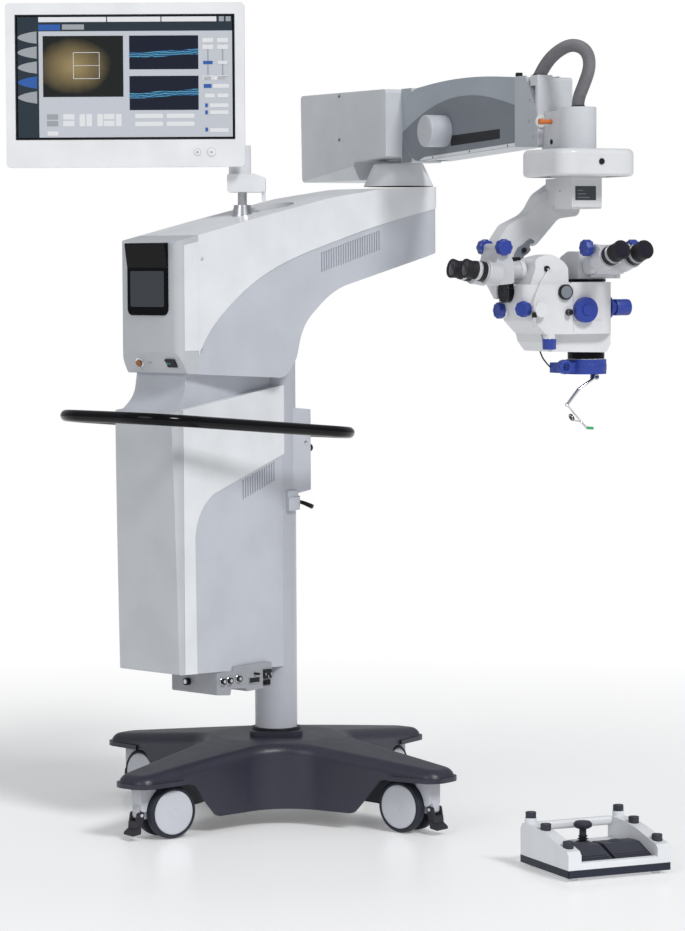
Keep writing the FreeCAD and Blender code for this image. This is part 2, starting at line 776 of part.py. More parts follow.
def make_spring_arm():
    x, z = arm_pivot
    hx, hz = head_pivot
    shell = arm_slab(0, arm_half).cut(arm_slab(arm_wall, arm_half - arm_wall))
    rear_mouth = block((x - arm_end_radius - 5, -tongue_half - 3, z - arm_end_radius - 5),
                       (x - 40, tongue_half + 3, z + 62))
    under = block((x - 50, -tongue_half - 3, z - arm_end_radius - 5), (x + 40, tongue_half + 3, z - 70))
    front_mouth = block((hx + 30, -arm_half + 12, hz - head_end_radius - 5),
                        (hx + head_end_radius + 5, arm_half - 12, hz + 50))
    front_under = block((hx - 40, -arm_half + 12, hz - head_end_radius - 5), (hx + 40, arm_half - 12, hz - 50))
    shell = shell.cut(rear_mouth).cut(under).cut(front_mouth).cut(front_under)
    slot = prism_xz([(350, 1638, 3), (592, 1646, 3), (592, 1668, 3), (350, 1662, 3)], -arm_half - 1, -arm_half + 3)
    knob_bore = rod((knob_place[0], -arm_half - 1, knob_place[1]),
                    (knob_place[0], -arm_half + arm_wall + 1, knob_place[1]), 6.0 + running_gap)
    pin = rod((x, -arm_half + 2, z), (x, arm_half - 2, z), arm_pin_radius)
    head_bore = rod((hx, -60, hz), (hx, 60, hz), arm_pin_radius + running_gap)
    return joined(shell.cut(slot), pin).cut(knob_bore).cut(head_bore)


def make_arm_link():
    """Lower link that keeps the head upright."""
    x, z = arm_pivot
    hx, hz = head_pivot
    z = z - link_drop
    hz = hz - link_drop
    bar = joined(
        rod((x, -link_half, z), (x, link_half, z), 13), rod((hx, -link_half, hz), (hx, link_half, hz), 13),
        prism_xz([(x, z - 8), (hx, hz - 8), (hx, hz + 8), (x, z + 8)], -link_half, link_half))
    for px, pz in ((x, z), (hx, hz)):
        bar = bar.cut(rod((px, -20, pz), (px, 20, pz), link_pin_radius + running_gap))
    return bar


def make_balance_spring():
    """Gas spring that carries the arm's load, seated on a bracket under the top of the shell."""
    body = joined(rod((300, 0, 1738), (470, 0, 1742), 20), rod((470, 0, 1742), (590, 0, 1745), 8),
                  rod((590, 0, 1745), (604, 0, 1745), 16))
    ends = [block((x - 8, -arm_half + arm_wall, 1734), (x + 8, arm_half - arm_wall, 1752)) for x in (306, 598)]
    return joined(body, *ends)


def make_arm_knob():
    x, z = knob_place
    face = -arm_half - seat_gap
    body = rod((x, face, z), (x, face - knob_length, z), knob_radius)
    body = body.makeFillet(4.0, [e for e in body.Edges if e.BoundBox.YMax < face - knob_length + 1])
    return joined(body, rod((x, face, z), (x, -arm_half + arm_wall + 1, z), 6.0))


def make_arm_head():
    """Cheeks over the arm's end, front wall, block and the housing of the post."""
    hx, hz = head_pivot
    inner = arm_half + seat_gap
    outer = inner + cheek_thickness
    side = [(671, 1624, 6), (head_end + 8, 1620, 6), (head_end + 8, 1700, 30), (722, web_top, 6), (671, web_top, 6)]
    cheeks = joined(prism_xz(side, inner, outer), prism_xz(side, -outer, -inner))
    wall = prism_xz([(head_end, 1620, 0), (head_end + 10, 1620, 6), (head_end + 10, 1783, 8), (head_end, 1783, 0)],
                    -outer, outer)
    lug = prism_xz([(head_end + 2, hz + 20, 0), (hx + 6, hz + 20, 12), (hx - 22, hz + 6, 12),
                    (hx - 20, hz - link_drop - 14, 10), (hx + 24, hz - link_drop - 14, 4), (head_end + 2, hz - 62, 0)],
                   -arm_half + 14, arm_half - 14)
    slot = block((hx - 40, -link_half - seat_gap, 0), (hx + 62, link_half + seat_gap, hz - link_drop + 20))
    lug = lug.cut(slot)
    pins = rod((hx, -outer, hz), (hx, outer, hz), arm_pin_radius)
    link_pin = rod((hx, -arm_half + 14, hz - link_drop), (hx, arm_half - 14, hz - link_drop), link_pin_radius)
    neck = prism_xz([(head_end, 1614, 0), (post_x, 1614, 0), (post_x, 1702, 0), (head_end, 1702, 0)], -30, 30)
    post = rod((post_x, 0, post_low), (post_x, 0, post_top), post_radius)
    gland = block((head_end - 23, -outer, 1764), (head_end + 9, -6, 1788))
    body = joined(cheeks, wall, lug, pins, link_pin, neck, post, gland)
    body = body.cut(rod((post_x, 0, post_low - 1), (post_x, 0, 1692), post_spindle_radius + running_gap))
    return body.cut(rod((810, -60, 1678), (810, -12, 1678), 5.5 + running_gap))


def make_lock_pin():
    return joined(rod((810, -56, 1678), (810, -14, 1678), 5.5), rod((810, -62, 1678), (810, -54, 1678), 7.0))


def make_xy_coupling():
    half = coupling_side / 2.0
    corner = coupling_corner
    outer = prism_xy([(half, -half, corner), (half, half, corner), (-half, half, corner), (-half, -half, corner)],
                     coupling_low, coupling_top)
    outer = outer.makeFillet(13.0, [e for e in outer.Edges if e.BoundBox.ZMin > coupling_top - 1])
    outer = outer.makeFillet(9.0, [e for e in outer.Edges if e.BoundBox.ZMax < coupling_low + 1])
    inside = cavity_side / 2.0
    cavity = prism_xy([(inside, -inside, 30), (inside, inside, 30), (-inside, inside, 30), (-inside, -inside, 30)],
                      coupling_low - 1, cavity_top)
    body = joined(outer.cut(cavity), rod((0, 0, coupling_top - 5), (0, 0, 1690), post_spindle_radius))
    return placed(body, (post_x, 0, 0), 0)


def make_xy_plate():
    half = plate_side / 2.0
    top = cavity_top - slide_gap
    plate = prism_xy([(half, -half, 8), (half, half, 8), (-half, half, 8), (-half, -half, 8)],
                     top - plate_thickness, top)
    return placed(plate, (post_x, 0, 0), 0)


def make_status_display():
    """Stage plate in the coupling, with the display box under it."""
    half = stage_side / 2.0
    top = cavity_top - plate_thickness - 2 * slide_gap
    stage = block((post_x - half, -half, coupling_low - 2), (post_x + half, half, top))
    front = post_x + display_depth / 2.0
    back = post_x - display_depth / 2.0
    box = prism_xz([(back, display_low, 4), (front, display_low, 6), (front, coupling_low - 1.5, 2),
                    (back, coupling_low - 1.5, 2)], -display_half, display_half)
    recess = block((front - 2, -31, 1495), (front + 5, 25, 1528))
    return joined(stage, box).cut(recess)


def make_suspension_arm():
    """Arm that drops from the stage to the microscope's tilt hinge."""
    arm = prism_yz([
        (-8, 1540, 10), (-55, 1510, 40), (-82, 1467, 60), (-142, 1440, 26), (-171, 1401, 30),
        (-171, tilt_axis[1] - tilt_lug_radius, 20), (-104, tilt_axis[1] - tilt_lug_radius, 20),
        (-100, 1391, 20), (-70, 1391, 26), (-8, 1455, 30), (50, 1462, 16), (50, 1547, 4), (-8, 1547, 0),
    ], leg_back, leg_front)
    back = post_x - display_depth / 2.0
    bridge = block((leg_front - 10, -36, 1484), (back, 44, 1546))
    body = joined(arm, bridge)
    x, z = tilt_axis
    return body.cut(rod((x, -300, z), (x, 100, z), tilt_bolt_radius + running_gap))


def make_microscope_body():
    x, z = tilt_axis
    upper = prism_yz([(-178, 1304, 8), (-178, 1258, 20), (-158, 1220, 20), (-128, 1190, 6), (66, 1190, 0),
                      (66, 1308, 10), (-58, 1308, 6), (-64, 1303, 4)], scope_back, scope_front)
    lower = prism_yz([(-128, 1192, 0), (-122, 1172, 6), (-104, 1150, 8), (50, 1146, 8), (66, 1180, 10), (66, 1192, 0)],
                     scope_back, scope_lower_front)
    plan = prism_xy([(scope_back, -180, 20), (scope_front, -180, 30), (scope_front, 64, 44), (scope_back, 64, 20)], 1100, 1320)
    upper = upper.common(plan)
    lower = lower.common(plan)
    module = prism_yz([(-160, 1300, 0), (-58, 1300, 0), (-60, 1352, 26), (-90, 1374, 30), (-138, 1362, 26)],
                      836, 934)
    dome = prism_xz([(836, 1296, 0), (934, 1296, 0), (934, 1340, 0), (908, 1376, 24), (862, 1376, 24), (836, 1340, 20)],
                    -170, -50)
    module = module.common(dome)
    ears = []
    for low, high in ((-171 - seat_gap - 12, -171 - seat_gap), (-100 + seat_gap, -100 + seat_gap + 12)):
        ears.append(prism_xz([(x - 20, z - 14, 14), (x - 20, z + 18, 16), (x + 20, z + 18, 14), (scope_back + 10, 1300, 0),
                              (scope_back + 10, 1270, 0), (scope_back - 2, 1270, 6)], low, high))
    boss = rod((880, -150, 1336), (880, -161, 1336), 22)
    bolt = rod((x, -171 - seat_gap - 12, z), (x, -100 + seat_gap + 12, z), tilt_bolt_radius)
    ax, ay = scope_axis
    objective = rod((ax, ay, objective_low), (ax, ay, 1150), objective_radius)
    lens = rod((ax, ay, objective_low - 1), (ax, ay, objective_low + 8), objective_bore)
    left_cap = rod((868, -178, 1288), (868, -192, 1288), 26)
    right_cap = rod((857, 60, 1286), (857, 74, 1286), 21)
    front_cap = rod((scope_front, -78, 1286), (scope_front + 8, -78, 1286), 17)
    knobs = [
        rod((scope_front, -168 + 20, 1246), (scope_front + 16, -148, 1246), 17),
        rod((scope_front - 12, -112, 1190), (scope_front - 12, -112, 1156), 14),
        rod((scope_front, -70, 1240), (scope_front + 14, -70, 1240), 7),
        rod((848 - 12, -170, 1244), (848 - 12, -190, 1244), 17),
    ]
    body = joined(upper, lower, module, boss, bolt, objective, left_cap, right_cap, front_cap, *(ears + knobs))
    return body.cut(lens)


def make_tube_base():
    """Housing over the main optical path, with the hinge barrel of the binocular."""
    ax, ay = scope_axis
    mid = ay + 6
    ring_seat = rod((ax, ay, 1308), (ax, ay, 1318), 44)
    housing = prism_xz([(834, 1316, 10), (838, 1362, 24), (880, 1379, 40), (934, 1376, 14), (944, 1352, 10),
                        (940, 1316, 8)], mid - 56, mid + 56)
    for low, high in ((mid - 60, mid - 30), (mid + 30, mid + 60)):
        housing = housing.cut(block((928, low, 1300), (1000, high, 1400)))
    barrel = rod((950, mid - 30, 1346), (950, mid + 30, 1346), 22)
    return joined(ring_seat, housing, barrel).cut(rod((950, mid - 60, 1346), (950, mid + 60, 1346), 8 + running_gap))


def make_main_tube():
    """Tilting binocular: yoke, two tubes with eyepieces, and the eye distance knobs."""
    mid = scope_axis[1] + 6
    x, z = 950.0, 1346.0
    dx, dz = math.cos(math.radians(tube_rise)), math.sin(math.radians(tube_rise))
    pieces = [rod((x, mid - 46, z), (x, mid + 46, z), 8)]
    for side in (-1, 1):
        inner = mid + side * (30 + seat_gap)
        outer = mid + side * 46
        pieces.append(rod((x, inner, z), (x, outer, z), 20))
        centre = mid + side * 31
        pieces.append(prism_xz([(x - 8, z - 12, 0), (x + 44, z + 4, 6), (x + 40, z + 40, 8), (x - 6, z + 20, 4)],
                               min(inner, outer), max(inner, outer)))
        for first, last, radius in ((30, 72, 25), (70, 94, 21.5), (92, 128, 19)):
            pieces.append(rod((x + first * dx, centre, z + first * dz), (x + last * dx, centre, z + last * dz), radius))
        pieces.append(rod((x + 22, mid + side * 34, z + 40), (x + 22, mid + side * 60, z + 40), 9))
        pieces.append(rod((x + 22, mid + side * 52, z + 40), (x + 22, mid + side * 70, z + 40), 17))
    bridge = prism_xz([(x + 24, z - 2, 4), (x + 62, z + 6, 4), (x + 54, z + 40, 10), (x + 12, z + 54, 14)],
                      mid - 46, mid + 46)
    return joined(bridge, *pieces)


def make_assistant_tube():
    """Assistant's binocular on its swivel tube, pointing to the left."""
    link = cone((880, -161 - seat_gap, 1336), (880, -196, 1336), 21, 18)
    body = prism_yz([(-192, 1306, 8), (-192, 1352, 10), (-212, 1390, 12), (-230, 1388, 10), (-240, 1350, 6),
                     (-242, 1302, 8)], 842, 918)
    pieces = [link, body]
    dy, dz = -math.cos(math.radians(10)), math.sin(math.radians(10))
    for x in (849.0, 911.0):
        for first, last, radius in ((-10, 24, 26), (22, 50, 22), (48, 76, 19)):
            pieces.append(rod((x, -240 + first * dy, 1328 + first * dz), (x, -240 + last * dy, 1328 + last * dz), radius))
    pieces.append(rod((842, -222, 1388), (918, -222, 1388), 9))
    for low, high in ((828, 846), (914, 932)):
        pieces.append(rod((low, -222, 1388), (high, -222, 1388), 17))
    return joined(*pieces)


def make_zoom_knob():
    face = scope_front + seat_gap
    return joined(rod((face, -28, 1245), (face + 16, -28, 1245), 28.5), rod((face + 16, -28, 1245), (face + 19, -28, 1245), 12))


def make_handgrip():
    z = 1249.0
    x = 900.0
    seat = 64.0
    return joined(rod((x, seat, z), (x, seat + 6, z), 26), rod((x, seat + 6, z), (x, seat + 20, z), 15),
                  rod((x, seat + 20, z), (x, seat + 58, z), 18.5))


def make_viewer_ring():
    ax, ay = scope_axis
    top = objective_low - seat_gap
    band = ring((ax, ay, ring_low), (ax, ay, top), ring_radius, 34.0)
    arm = block((ax - 14, ay - ring_radius - 42, ring_low + 4), (ax + 22, ay - ring_radius + 8, top - 6))
    knob = rod((ax + 22, ay - ring_radius - 30, ring_low + 18), (ax + 40, ay - ring_radius - 30, ring_low + 18), 16)
    lug = block((ax + 6, ay + 8, ring_low - 12), (ax + 14, ay + 24, ring_low + 2))
    pin = rod((ax + 4, ay + 16, ring_low - 7), (ax + 26, ay + 16, ring_low - 7), 2.5)
    support = block((ax + 6, ay + 4, ring_low), (ax + 14, ay + 46, ring_low + 4))
    return joined(band, arm, knob, lug, pin, support)


def make_viewer_arm():
    ax, ay = scope_axis
    x = ax + 18
    hinge = (x, ay + 16, ring_low - 7)
    points = [hinge, (x, ay - 30, 1062), (x, ay - 62, 1026), (x, ay - 24, 986)]
    pieces = [rod((x - 3.6, hinge[1], hinge[2]), (x + 3.6, hinge[1], hinge[2]), 6.5)]
    for first, last, radius in zip(points, points[1:], (3.4, 4.0, 1.8)):
        pieces.append(rod(first, last, radius))
        pieces.append(Part.makeSphere(radius + 0.6, V(*last)))
    lens = ring((x, ay - 52, 996), (x, ay - 48, 998), 8.5, 6.0)
    stem = rod((x, ay - 24, 986), (x, ay - 46.6, 990.3), 1.6)
    tip = joined(rod((x, ay - 24, 986), (x, ay - 10, 972), 2.2), rod((x, ay - 10, 972), (x, ay + 8, 970), 2.8))
    body = joined(lens, stem, tip, *pieces)
    return body.cut(rod((x - 10, hinge[1], hinge[2]), (x + 10, hinge[1], hinge[2]), 2.5 + running_gap))


def hose_points():
    """Hose from the arm's head, up and over, into the top of the post."""
    return [(758, -26, 1788), (758, -26, 1814), (796, -16, 1842), (845, 4, 1853), (886, 18, 1836), (896, 18, 1794),
            (post_x, 0, 1752), (post_x, 0, post_top)]


def make_hose():
    """Tube of straight runs joined by tangent arcs."""
    points = [V(*p) for p in hose_points()]
    edges = []
    last = points[0]
    for i in range(1, len(points) - 1):
        here = points[i]
        before = points[i - 1] - here
        after = points[i + 1] - here
        run = min(before.Length, after.Length)
        before.normalize()
        after.normalize()
        half = before.getAngle(after) / 2.0
        radius = 0.45 * run * math.tan(half)
        middle = before + after
        middle.normalize()
        reach = 0.45 * run
        first = here + before * reach
        end = here + after * reach
        edges.append(Part.LineSegment(last, first).toShape())
        edges.append(Part.Arc(first, here + middle * (radius / math.sin(half) - radius), end).toShape())
        last = end
        print("hose radius", round(radius, 1))
    edges.append(Part.LineSegment(last, points[-1]).toShape())
    path = Part.Wire(edges)
    along = points[1] - points[0]
    section = Part.Wire(Part.makeCircle(hose_radius, points[0], along))
    tube = path.makePipeShell([section], True, False)
    print("hose length", round(path.Length, 1), "volume share",
          round(tube.Volume / (math.pi * hose_radius ** 2 * path.Length), 3))
    return tube


# Foot control

def foot_crest(y):
    """Height of the side walls' curved top."""
    share = min(1.0, max(0.0, (y - 14.0) / (foot_depth - 60.0)))
    return foot_front_top + (foot_rear_top - foot_front_top) * math.sin(share * math.pi / 2.0)


def foot_wall_form(low, high):
    """Side wall: flat below, its top a convex curve that rises towards the rear."""
    crest = [V(low, y, foot_crest(y)) for y in (8.0, 60.0, 115.0, 170.0, foot_depth - 10.0)]
    curve = Part.BSplineCurve()
    curve.interpolate(crest)
    rest = Part.makePolygon([crest[-1], V(low, foot_depth, foot_rear_top - 12.0), V(low, foot_depth, 10), V(low, 0, 10),
                             V(low, 0, foot_front_top - 9.0), crest[0]])
    return Part.Face(Part.Wire([curve.toShape()] + rest.Edges)).extrude(V(high - low, 0, 0))


def make_foot_base():
    middle = foot_width / 2.0
    left = foot_wall_form(0, foot_wall)
    right = foot_wall_form(foot_width - foot_wall, foot_width)
    plinth = prism_yz([(3, 7, 4), (foot_depth - 3, 7, 4), (foot_depth - 3, foot_plinth_top, 0), (3, foot_plinth_top, 0)],
                      3, foot_width - 3)
    floor = plinth.cut(block((foot_wall, 13, foot_floor), (foot_width - foot_wall, foot_depth - 58, 60)))
    ledge = prism_yz([(0, 20, 0), (12, 20, 0), (12, foot_ledge_top, 2), (0, foot_ledge_top - 3, 4)], foot_wall - 1,
                     foot_width - foot_wall + 1)
    shelf = prism_yz([(foot_depth - 60, 20, 0), (foot_depth, 20, 0), (foot_depth, 50, 8), (foot_depth - 60, 50, 8)],
                     foot_wall - 1, foot_width - foot_wall + 1)
    feet = [rod((x, y, 0), (x, y, 8), 10) for x in (24, foot_width - 24) for y in (24, foot_depth - 24)]
    bar = prism_yz([(foot_depth - 22, 78, 8), (foot_depth, 78, 8), (foot_depth, 98, 8), (foot_depth - 22, 98, 8)],
                   foot_wall - 1, foot_width - foot_wall + 1)
    pin = rod((foot_wall - 1, pedal_hinge[0], pedal_hinge[1]),
              (foot_width - foot_wall + 1, pedal_hinge[0], pedal_hinge[1]), 3.5)
    posts = [block((middle - 4, pedal_hinge[0] - 12, foot_floor - 1), (middle + 4, pedal_hinge[0] + 12, pedal_hinge[1] + 5))]
    for x in (foot_wall / 2.0, foot_width - foot_wall / 2.0):
        posts.append(rod((x, foot_depth - 20, 80), (x, foot_depth - 20, foot_rear_top + rear_post), toe_radius + 1.5))
    cup = ring((middle, joystick_place[0], foot_floor - 1), (middle, joystick_place[0], 52), 26, 20)
    body = joined(left, right, floor, ledge, shelf, bar, pin, *(posts + feet))
    body = body.cut(rod((middle, joystick_place[0], foot_floor), (middle, joystick_place[0], 76), 22))
    body = joined(body, cup)
    for button in toe_buttons():
        low = button.BoundBox.Center - V(0, 0, button.BoundBox.ZLength / 2.0 + 4.0)
        body = body.cut(Part.makeCylinder(toe_radius + slide_gap, 60, low))
    return body


def make_foot_pedal(side):
    middle = foot_width / 2.0
    low = middle + side * (4 + seat_gap)
    high = middle + side * (middle - foot_wall - seat_gap)
    y, z = pedal_hinge
    rear = pedal_rear
    plate = prism_yz([(16, 27, 3), (15, 36, 4), (rear - 80, 52, 30), (rear - 54, 62, 14), (rear - 38, 62, 14),
                      (rear, 60, 4), (rear - 2, 50, 6),
                      (y + 10, z + 1, 6), (y, z - 6.5, 6), (y - 10, z - 1, 6)], min(low, high), max(low, high))
    return plate.cut(rod((0, y, z), (foot_width, y, z), 3.5 + running_gap))


def make_gimbal():
    middle = foot_width / 2.0
    y, z = joystick_place
    body = ring((middle, y, z - 5), (middle, y, z + 5), 18.5, 13.5)
    pins = rod((middle - 19.9, y, z), (middle + 19.9, y, z), 2.0)
    return joined(body, pins).cut(rod((middle, y, z - 15), (middle, y, z + 15), 13.4))


def make_joystick():
    middle = foot_width / 2.0
    y, z = joystick_place
    stem = rod((middle, y, z - 5), (middle, y, z + 39), 8)
    cap = turned([(0, 84), (14, 84, 2), (21, 90, 3), (17, 98, 6), (0, 100)])
    cap.translate(V(middle, y, 0))
    ball = Part.makeSphere(12.8, V(middle, y, z))
    return joined(stem, cap, ball)


def toe_buttons():
    caps = []
    for x in (foot_wall / 2.0, foot_width - foot_wall / 2.0):
        for y, base in ((32.0, foot_crest(32.0)), (138.0, foot_crest(138.0)), (foot_depth - 20.0, foot_rear_top + rear_post)):
            caps.append(rod((x, y, base - 6), (x, y, base + 12), toe_radius))
    return caps


def build():
    os.makedirs("parts", exist_ok=True)
    save("base_cover", make_base_cover())
    save("base_frame", make_base_frame())
    fork = make_fork()
    wheels = make_wheels()
    pedal = make_pedal()
    for k in range(4):
        place, turn = caster_place(k)
        save("caster_fork_%d" % (k + 1), placed(fork, place, turn))
        save("caster_wheels_%d" % (k + 1), placed(wheels, place, turn))
        save("caster_pedal_%d" % (k + 1), placed(pedal, place, turn))
    save("column", make_column())
    save("cabinet_cover", make_cabinet_cover())
    save("cabinet_side_panels", make_cabinet_panels())
    save("cabinet_shell", make_cabinet_shell())
    save("neck_panel", make_neck())
    save("connector_panel", make_connector_panel())
    save("connector_sockets", make_sockets())
    save("push_handle", make_handle())
    save("rear_housing", make_rear_housing())
    save("arm_nose", make_arm_nose())
    save("arm_upper_shell", make_upper_shell())
    save("arm_lower_shell", make_lower_shell())
    save("touch_screen", make_touch_screen())
    save("power_switch", make_power_switch())
    save("lock_key", make_lock_key())
    save("pivot_dome", placed(make_dome(), (0, pivot_y, 0), 0))
    save("monitor_foot", make_monitor_foot())
    save("monitor_post", on_monitor(make_monitor_post()))
    save("monitor_housing", on_monitor(make_monitor_housing()))
    save("monitor_screen", on_monitor(make_monitor_screen()))
    save("swivel_box", on_arm(make_swivel_box()))
    save("spring_arm_shell", on_arm(make_spring_arm()))
    save("spring_arm_link", on_arm(make_arm_link()))
    save("balance_spring", on_arm(make_balance_spring()))
    save("arm_knob", on_arm(make_arm_knob()))
    save("arm_head", on_arm(make_arm_head()))
    save("lock_pin", on_arm(make_lock_pin()))
    save("arm_hose", on_arm(make_hose()))
    save("xy_coupling", on_arm(make_xy_coupling()))
    save("xy_plate", on_arm(make_xy_plate()))
    save("status_display", on_arm(make_status_display()))
    save("suspension_arm", on_arm(make_suspension_arm()))
    save("microscope_body", on_arm(make_microscope_body()))
    save("tube_base", on_arm(make_tube_base()))
    save("main_tube", on_arm(make_main_tube()))
    save("assistant_tube", on_arm(make_assistant_tube()))
    save("zoom_knob", on_arm(make_zoom_knob()))
    save("handgrip", on_arm(make_handgrip()))
    save("viewer_ring", on_arm(make_viewer_ring()))
    save("viewer_arm", on_arm(make_viewer_arm()))
    save("foot_base", on_foot(make_foot_base()))
    save("foot_pedal_left", on_foot(make_foot_pedal(-1)))
    save("foot_pedal_right", on_foot(make_foot_pedal(1)))
    save("joystick_gimbal", on_foot(make_gimbal()))
    save("foot_joystick", on_foot(make_joystick()))
    save("foot_buttons", on_foot(Part.makeCompound(toe_buttons())))


build()
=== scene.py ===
import math

import bmesh
import bpy
from mathutils import Matrix, Vector


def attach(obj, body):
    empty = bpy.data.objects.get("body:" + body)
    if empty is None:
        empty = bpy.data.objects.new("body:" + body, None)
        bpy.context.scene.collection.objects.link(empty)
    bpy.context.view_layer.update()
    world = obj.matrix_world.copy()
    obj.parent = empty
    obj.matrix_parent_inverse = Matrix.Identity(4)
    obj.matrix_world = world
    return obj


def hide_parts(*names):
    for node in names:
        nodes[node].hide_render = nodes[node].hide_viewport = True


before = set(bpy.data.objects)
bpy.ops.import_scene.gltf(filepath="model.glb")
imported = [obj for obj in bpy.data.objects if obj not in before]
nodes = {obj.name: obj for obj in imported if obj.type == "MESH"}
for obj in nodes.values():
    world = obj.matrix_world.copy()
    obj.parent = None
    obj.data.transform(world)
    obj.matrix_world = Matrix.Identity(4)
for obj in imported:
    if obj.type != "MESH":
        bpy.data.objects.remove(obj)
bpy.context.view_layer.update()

# Places are in millimetres in four frames: the object's own, the arm's, the monitor's and the foot control's.
# A piece is placed in its body's frame, which is the arm's unless BODY_FRAMES names another.
MM = 0.001
PIVOT_Y = 450.0
ARM_TURN = -19.0
MONITOR_Y = -104.0
MONITOR_TURN = 44.0
FOOT_CORNER = (1118.6, -214.0)
FOOT_TURN = 68.0


def turned_frame(x, y, degrees):
    return Matrix.Translation((x * MM, y * MM, 0)) @ Matrix.Rotation(math.radians(degrees), 4, "Z")


STAND = Matrix.Identity(4)
ARM = turned_frame(0, PIVOT_Y, ARM_TURN)
MONITOR = turned_frame(0, MONITOR_Y, MONITOR_TURN)
FOOT = turned_frame(FOOT_CORNER[0], FOOT_CORNER[1], FOOT_TURN)
BODY_FRAMES = {"stand": STAND, "power_switch": STAND, "monitor": MONITOR, "pedal_left": FOOT,
               "pedal_right": FOOT, "joystick": FOOT, "toe_buttons": FOOT}
# Towards -Y and +Y, with the words for them in the names of pieces.
SIDES = ((-1, "near"), (1, "far"))
UP = (0, 0, 1)
DOWN = (0, 0, -1)
NEAR = (0, -1, 0)
FAR = (0, 1, 0)
RIGHT = (1, 0, 0)


def new_object(name, data):
    """Adds an object to the scene."""
    made = bpy.data.objects.new(name, data)
    bpy.context.scene.collection.objects.link(made)
    return made


# Camera

CAMERA_PLACE = (5.6771, -5.6390, 1.350)
CAMERA_AZIMUTH = 44.0
CAMERA_PITCH = 3.513
CAMERA_ROLL = 0.3
FOCAL_PIXELS = 3266.0
PHOTO_HEIGHT = 931.0
SENSOR_MM = 36.0


def make_camera():
    azimuth = math.radians(CAMERA_AZIMUTH)
    pitch = math.radians(CAMERA_PITCH)
    roll = math.radians(CAMERA_ROLL)
    level = Vector((math.cos(azimuth), math.sin(azimuth), 0))
    forward = Vector((-math.sin(azimuth) * math.cos(pitch), math.cos(azimuth) * math.cos(pitch),
                      -math.sin(pitch)))
    above = level.cross(forward)
    right = level * math.cos(roll) - above * math.sin(roll)
    up = above * math.cos(roll) + level * math.sin(roll)
    data = bpy.data.cameras.new("camera")
    data.sensor_width = SENSOR_MM
    data.lens = FOCAL_PIXELS / PHOTO_HEIGHT * SENSOR_MM
    data.clip_end = 100.0
    camera = new_object("camera", data)
    matrix = Matrix((right, up, -forward)).transposed().to_4x4()
    matrix.translation = CAMERA_PLACE
    camera.matrix_world = matrix
    bpy.context.scene.camera = camera


make_camera()


# Materials

RELIEF_DEPTH = 0.0002
LACQUER_ROUGHNESS = 0.08
GLOSS_SPREAD = 0.06


def new_material(name):
    material = bpy.data.materials.new(name)
    material.use_nodes = True
    tree = material.node_tree
    return material, tree, tree.nodes["Principled BSDF"]


def fill(node, **values):
    """Fills a node's sockets with plain values or other nodes' outputs; underscores stand for blanks."""
    for name, value in values.items():
        socket = node.inputs[name.replace("_", " ")]
        if isinstance(value, bpy.types.NodeSocket):
            node.id_data.links.new(value, socket)
        else:
            socket.default_value = value


def add_node(tree, kind, **values):
    node = tree.nodes.new("ShaderNode" + kind)
    fill(node, **values)
    return node


def coordinates(tree, kind="Object"):
    return add_node(tree, "TexCoord").outputs[kind]


def distance(tree, place):
    """Length of a place's vector."""
    node = add_node(tree, "VectorMath")
    node.operation = "LENGTH"
    tree.links.new(place, node.inputs[0])
    return node.outputs["Value"]


def mixed(tree, share, first, second):
    """First shader where share is 0, second where it is 1."""
    mix = add_node(tree, "MixShader", Fac=share)
    tree.links.new(first, mix.inputs[1])
    tree.links.new(second, mix.inputs[2])
    return mix.outputs["Shader"]


def noise(tree, scale, detail=3.0):
    return add_node(tree, "TexNoise", Vector=coordinates(tree), Scale=scale, Detail=detail).outputs["Fac"]


def ramp(tree, source, low, high, first, last):
    """Colours from low to high over a source's values from first to last."""
    node = add_node(tree, "ValToRGB", Fac=source)
    for element, place, colour in zip(node.color_ramp.elements, (first, last), (low, high)):
        element.position = place
        element.color = (*colour, 1)
    return node.outputs["Color"]


def shade(colour, factor):
    return tuple(min(1.0, c * factor) for c in colour)


def emboss(tree, shader, height, strength):
    """Fine relief over the whole surface."""
    relief = add_node(tree, "Bump", Height=height, Strength=strength, Distance=RELIEF_DEPTH)
    fill(shader, Normal=relief.outputs["Normal"])


def surface(name, colour, roughness, grain=900.0, bump=0.08, coat=0.0, vary=0.04, gleam=0.5):
    """Moulded or painted surface: faint mottling, uneven gloss and a fine grain."""
    material, tree, shader = new_material(name)
    tint = ramp(tree, noise(tree, 9.0), shade(colour, 1 - vary), shade(colour, 1 + vary), 0.35, 0.65)
    smear = add_node(tree, "MapRange", Value=noise(tree, 26.0, 5.0),
                     To_Min=max(0.03, roughness - GLOSS_SPREAD), To_Max=roughness + GLOSS_SPREAD)
    emboss(tree, shader, noise(tree, grain, 2.0), bump)
    fill(shader, Base_Color=tint, Roughness=smear.outputs["Result"], Coat_Weight=coat,
         Coat_Roughness=LACQUER_ROUGHNESS, Specular_IOR_Level=gleam)
    return material


def brushed(name, colour, roughness, stretch):
    """Metal with fine marks along one direction."""
    material, tree, shader = new_material(name)
    scale = add_node(tree, "Mapping", Vector=coordinates(tree), Scale=stretch)
    texture = add_node(tree, "TexNoise", Vector=scale.outputs["Vector"], Scale=60.0, Detail=4.0)
    tint = ramp(tree, texture.outputs["Fac"], shade(colour, 0.88), shade(colour, 1.08), 0.3, 0.7)
    emboss(tree, shader, texture.outputs["Fac"], 0.12)
    fill(shader, Base_Color=tint, Metallic=1.0, Roughness=roughness)
    return material


def glow_with(tree, shader, colour, strength, roughness=0.25):
    """Lets a screen area give off its own colour."""
    fill(shader, Base_Color=colour, Emission_Color=colour, Emission_Strength=strength, Roughness=roughness)


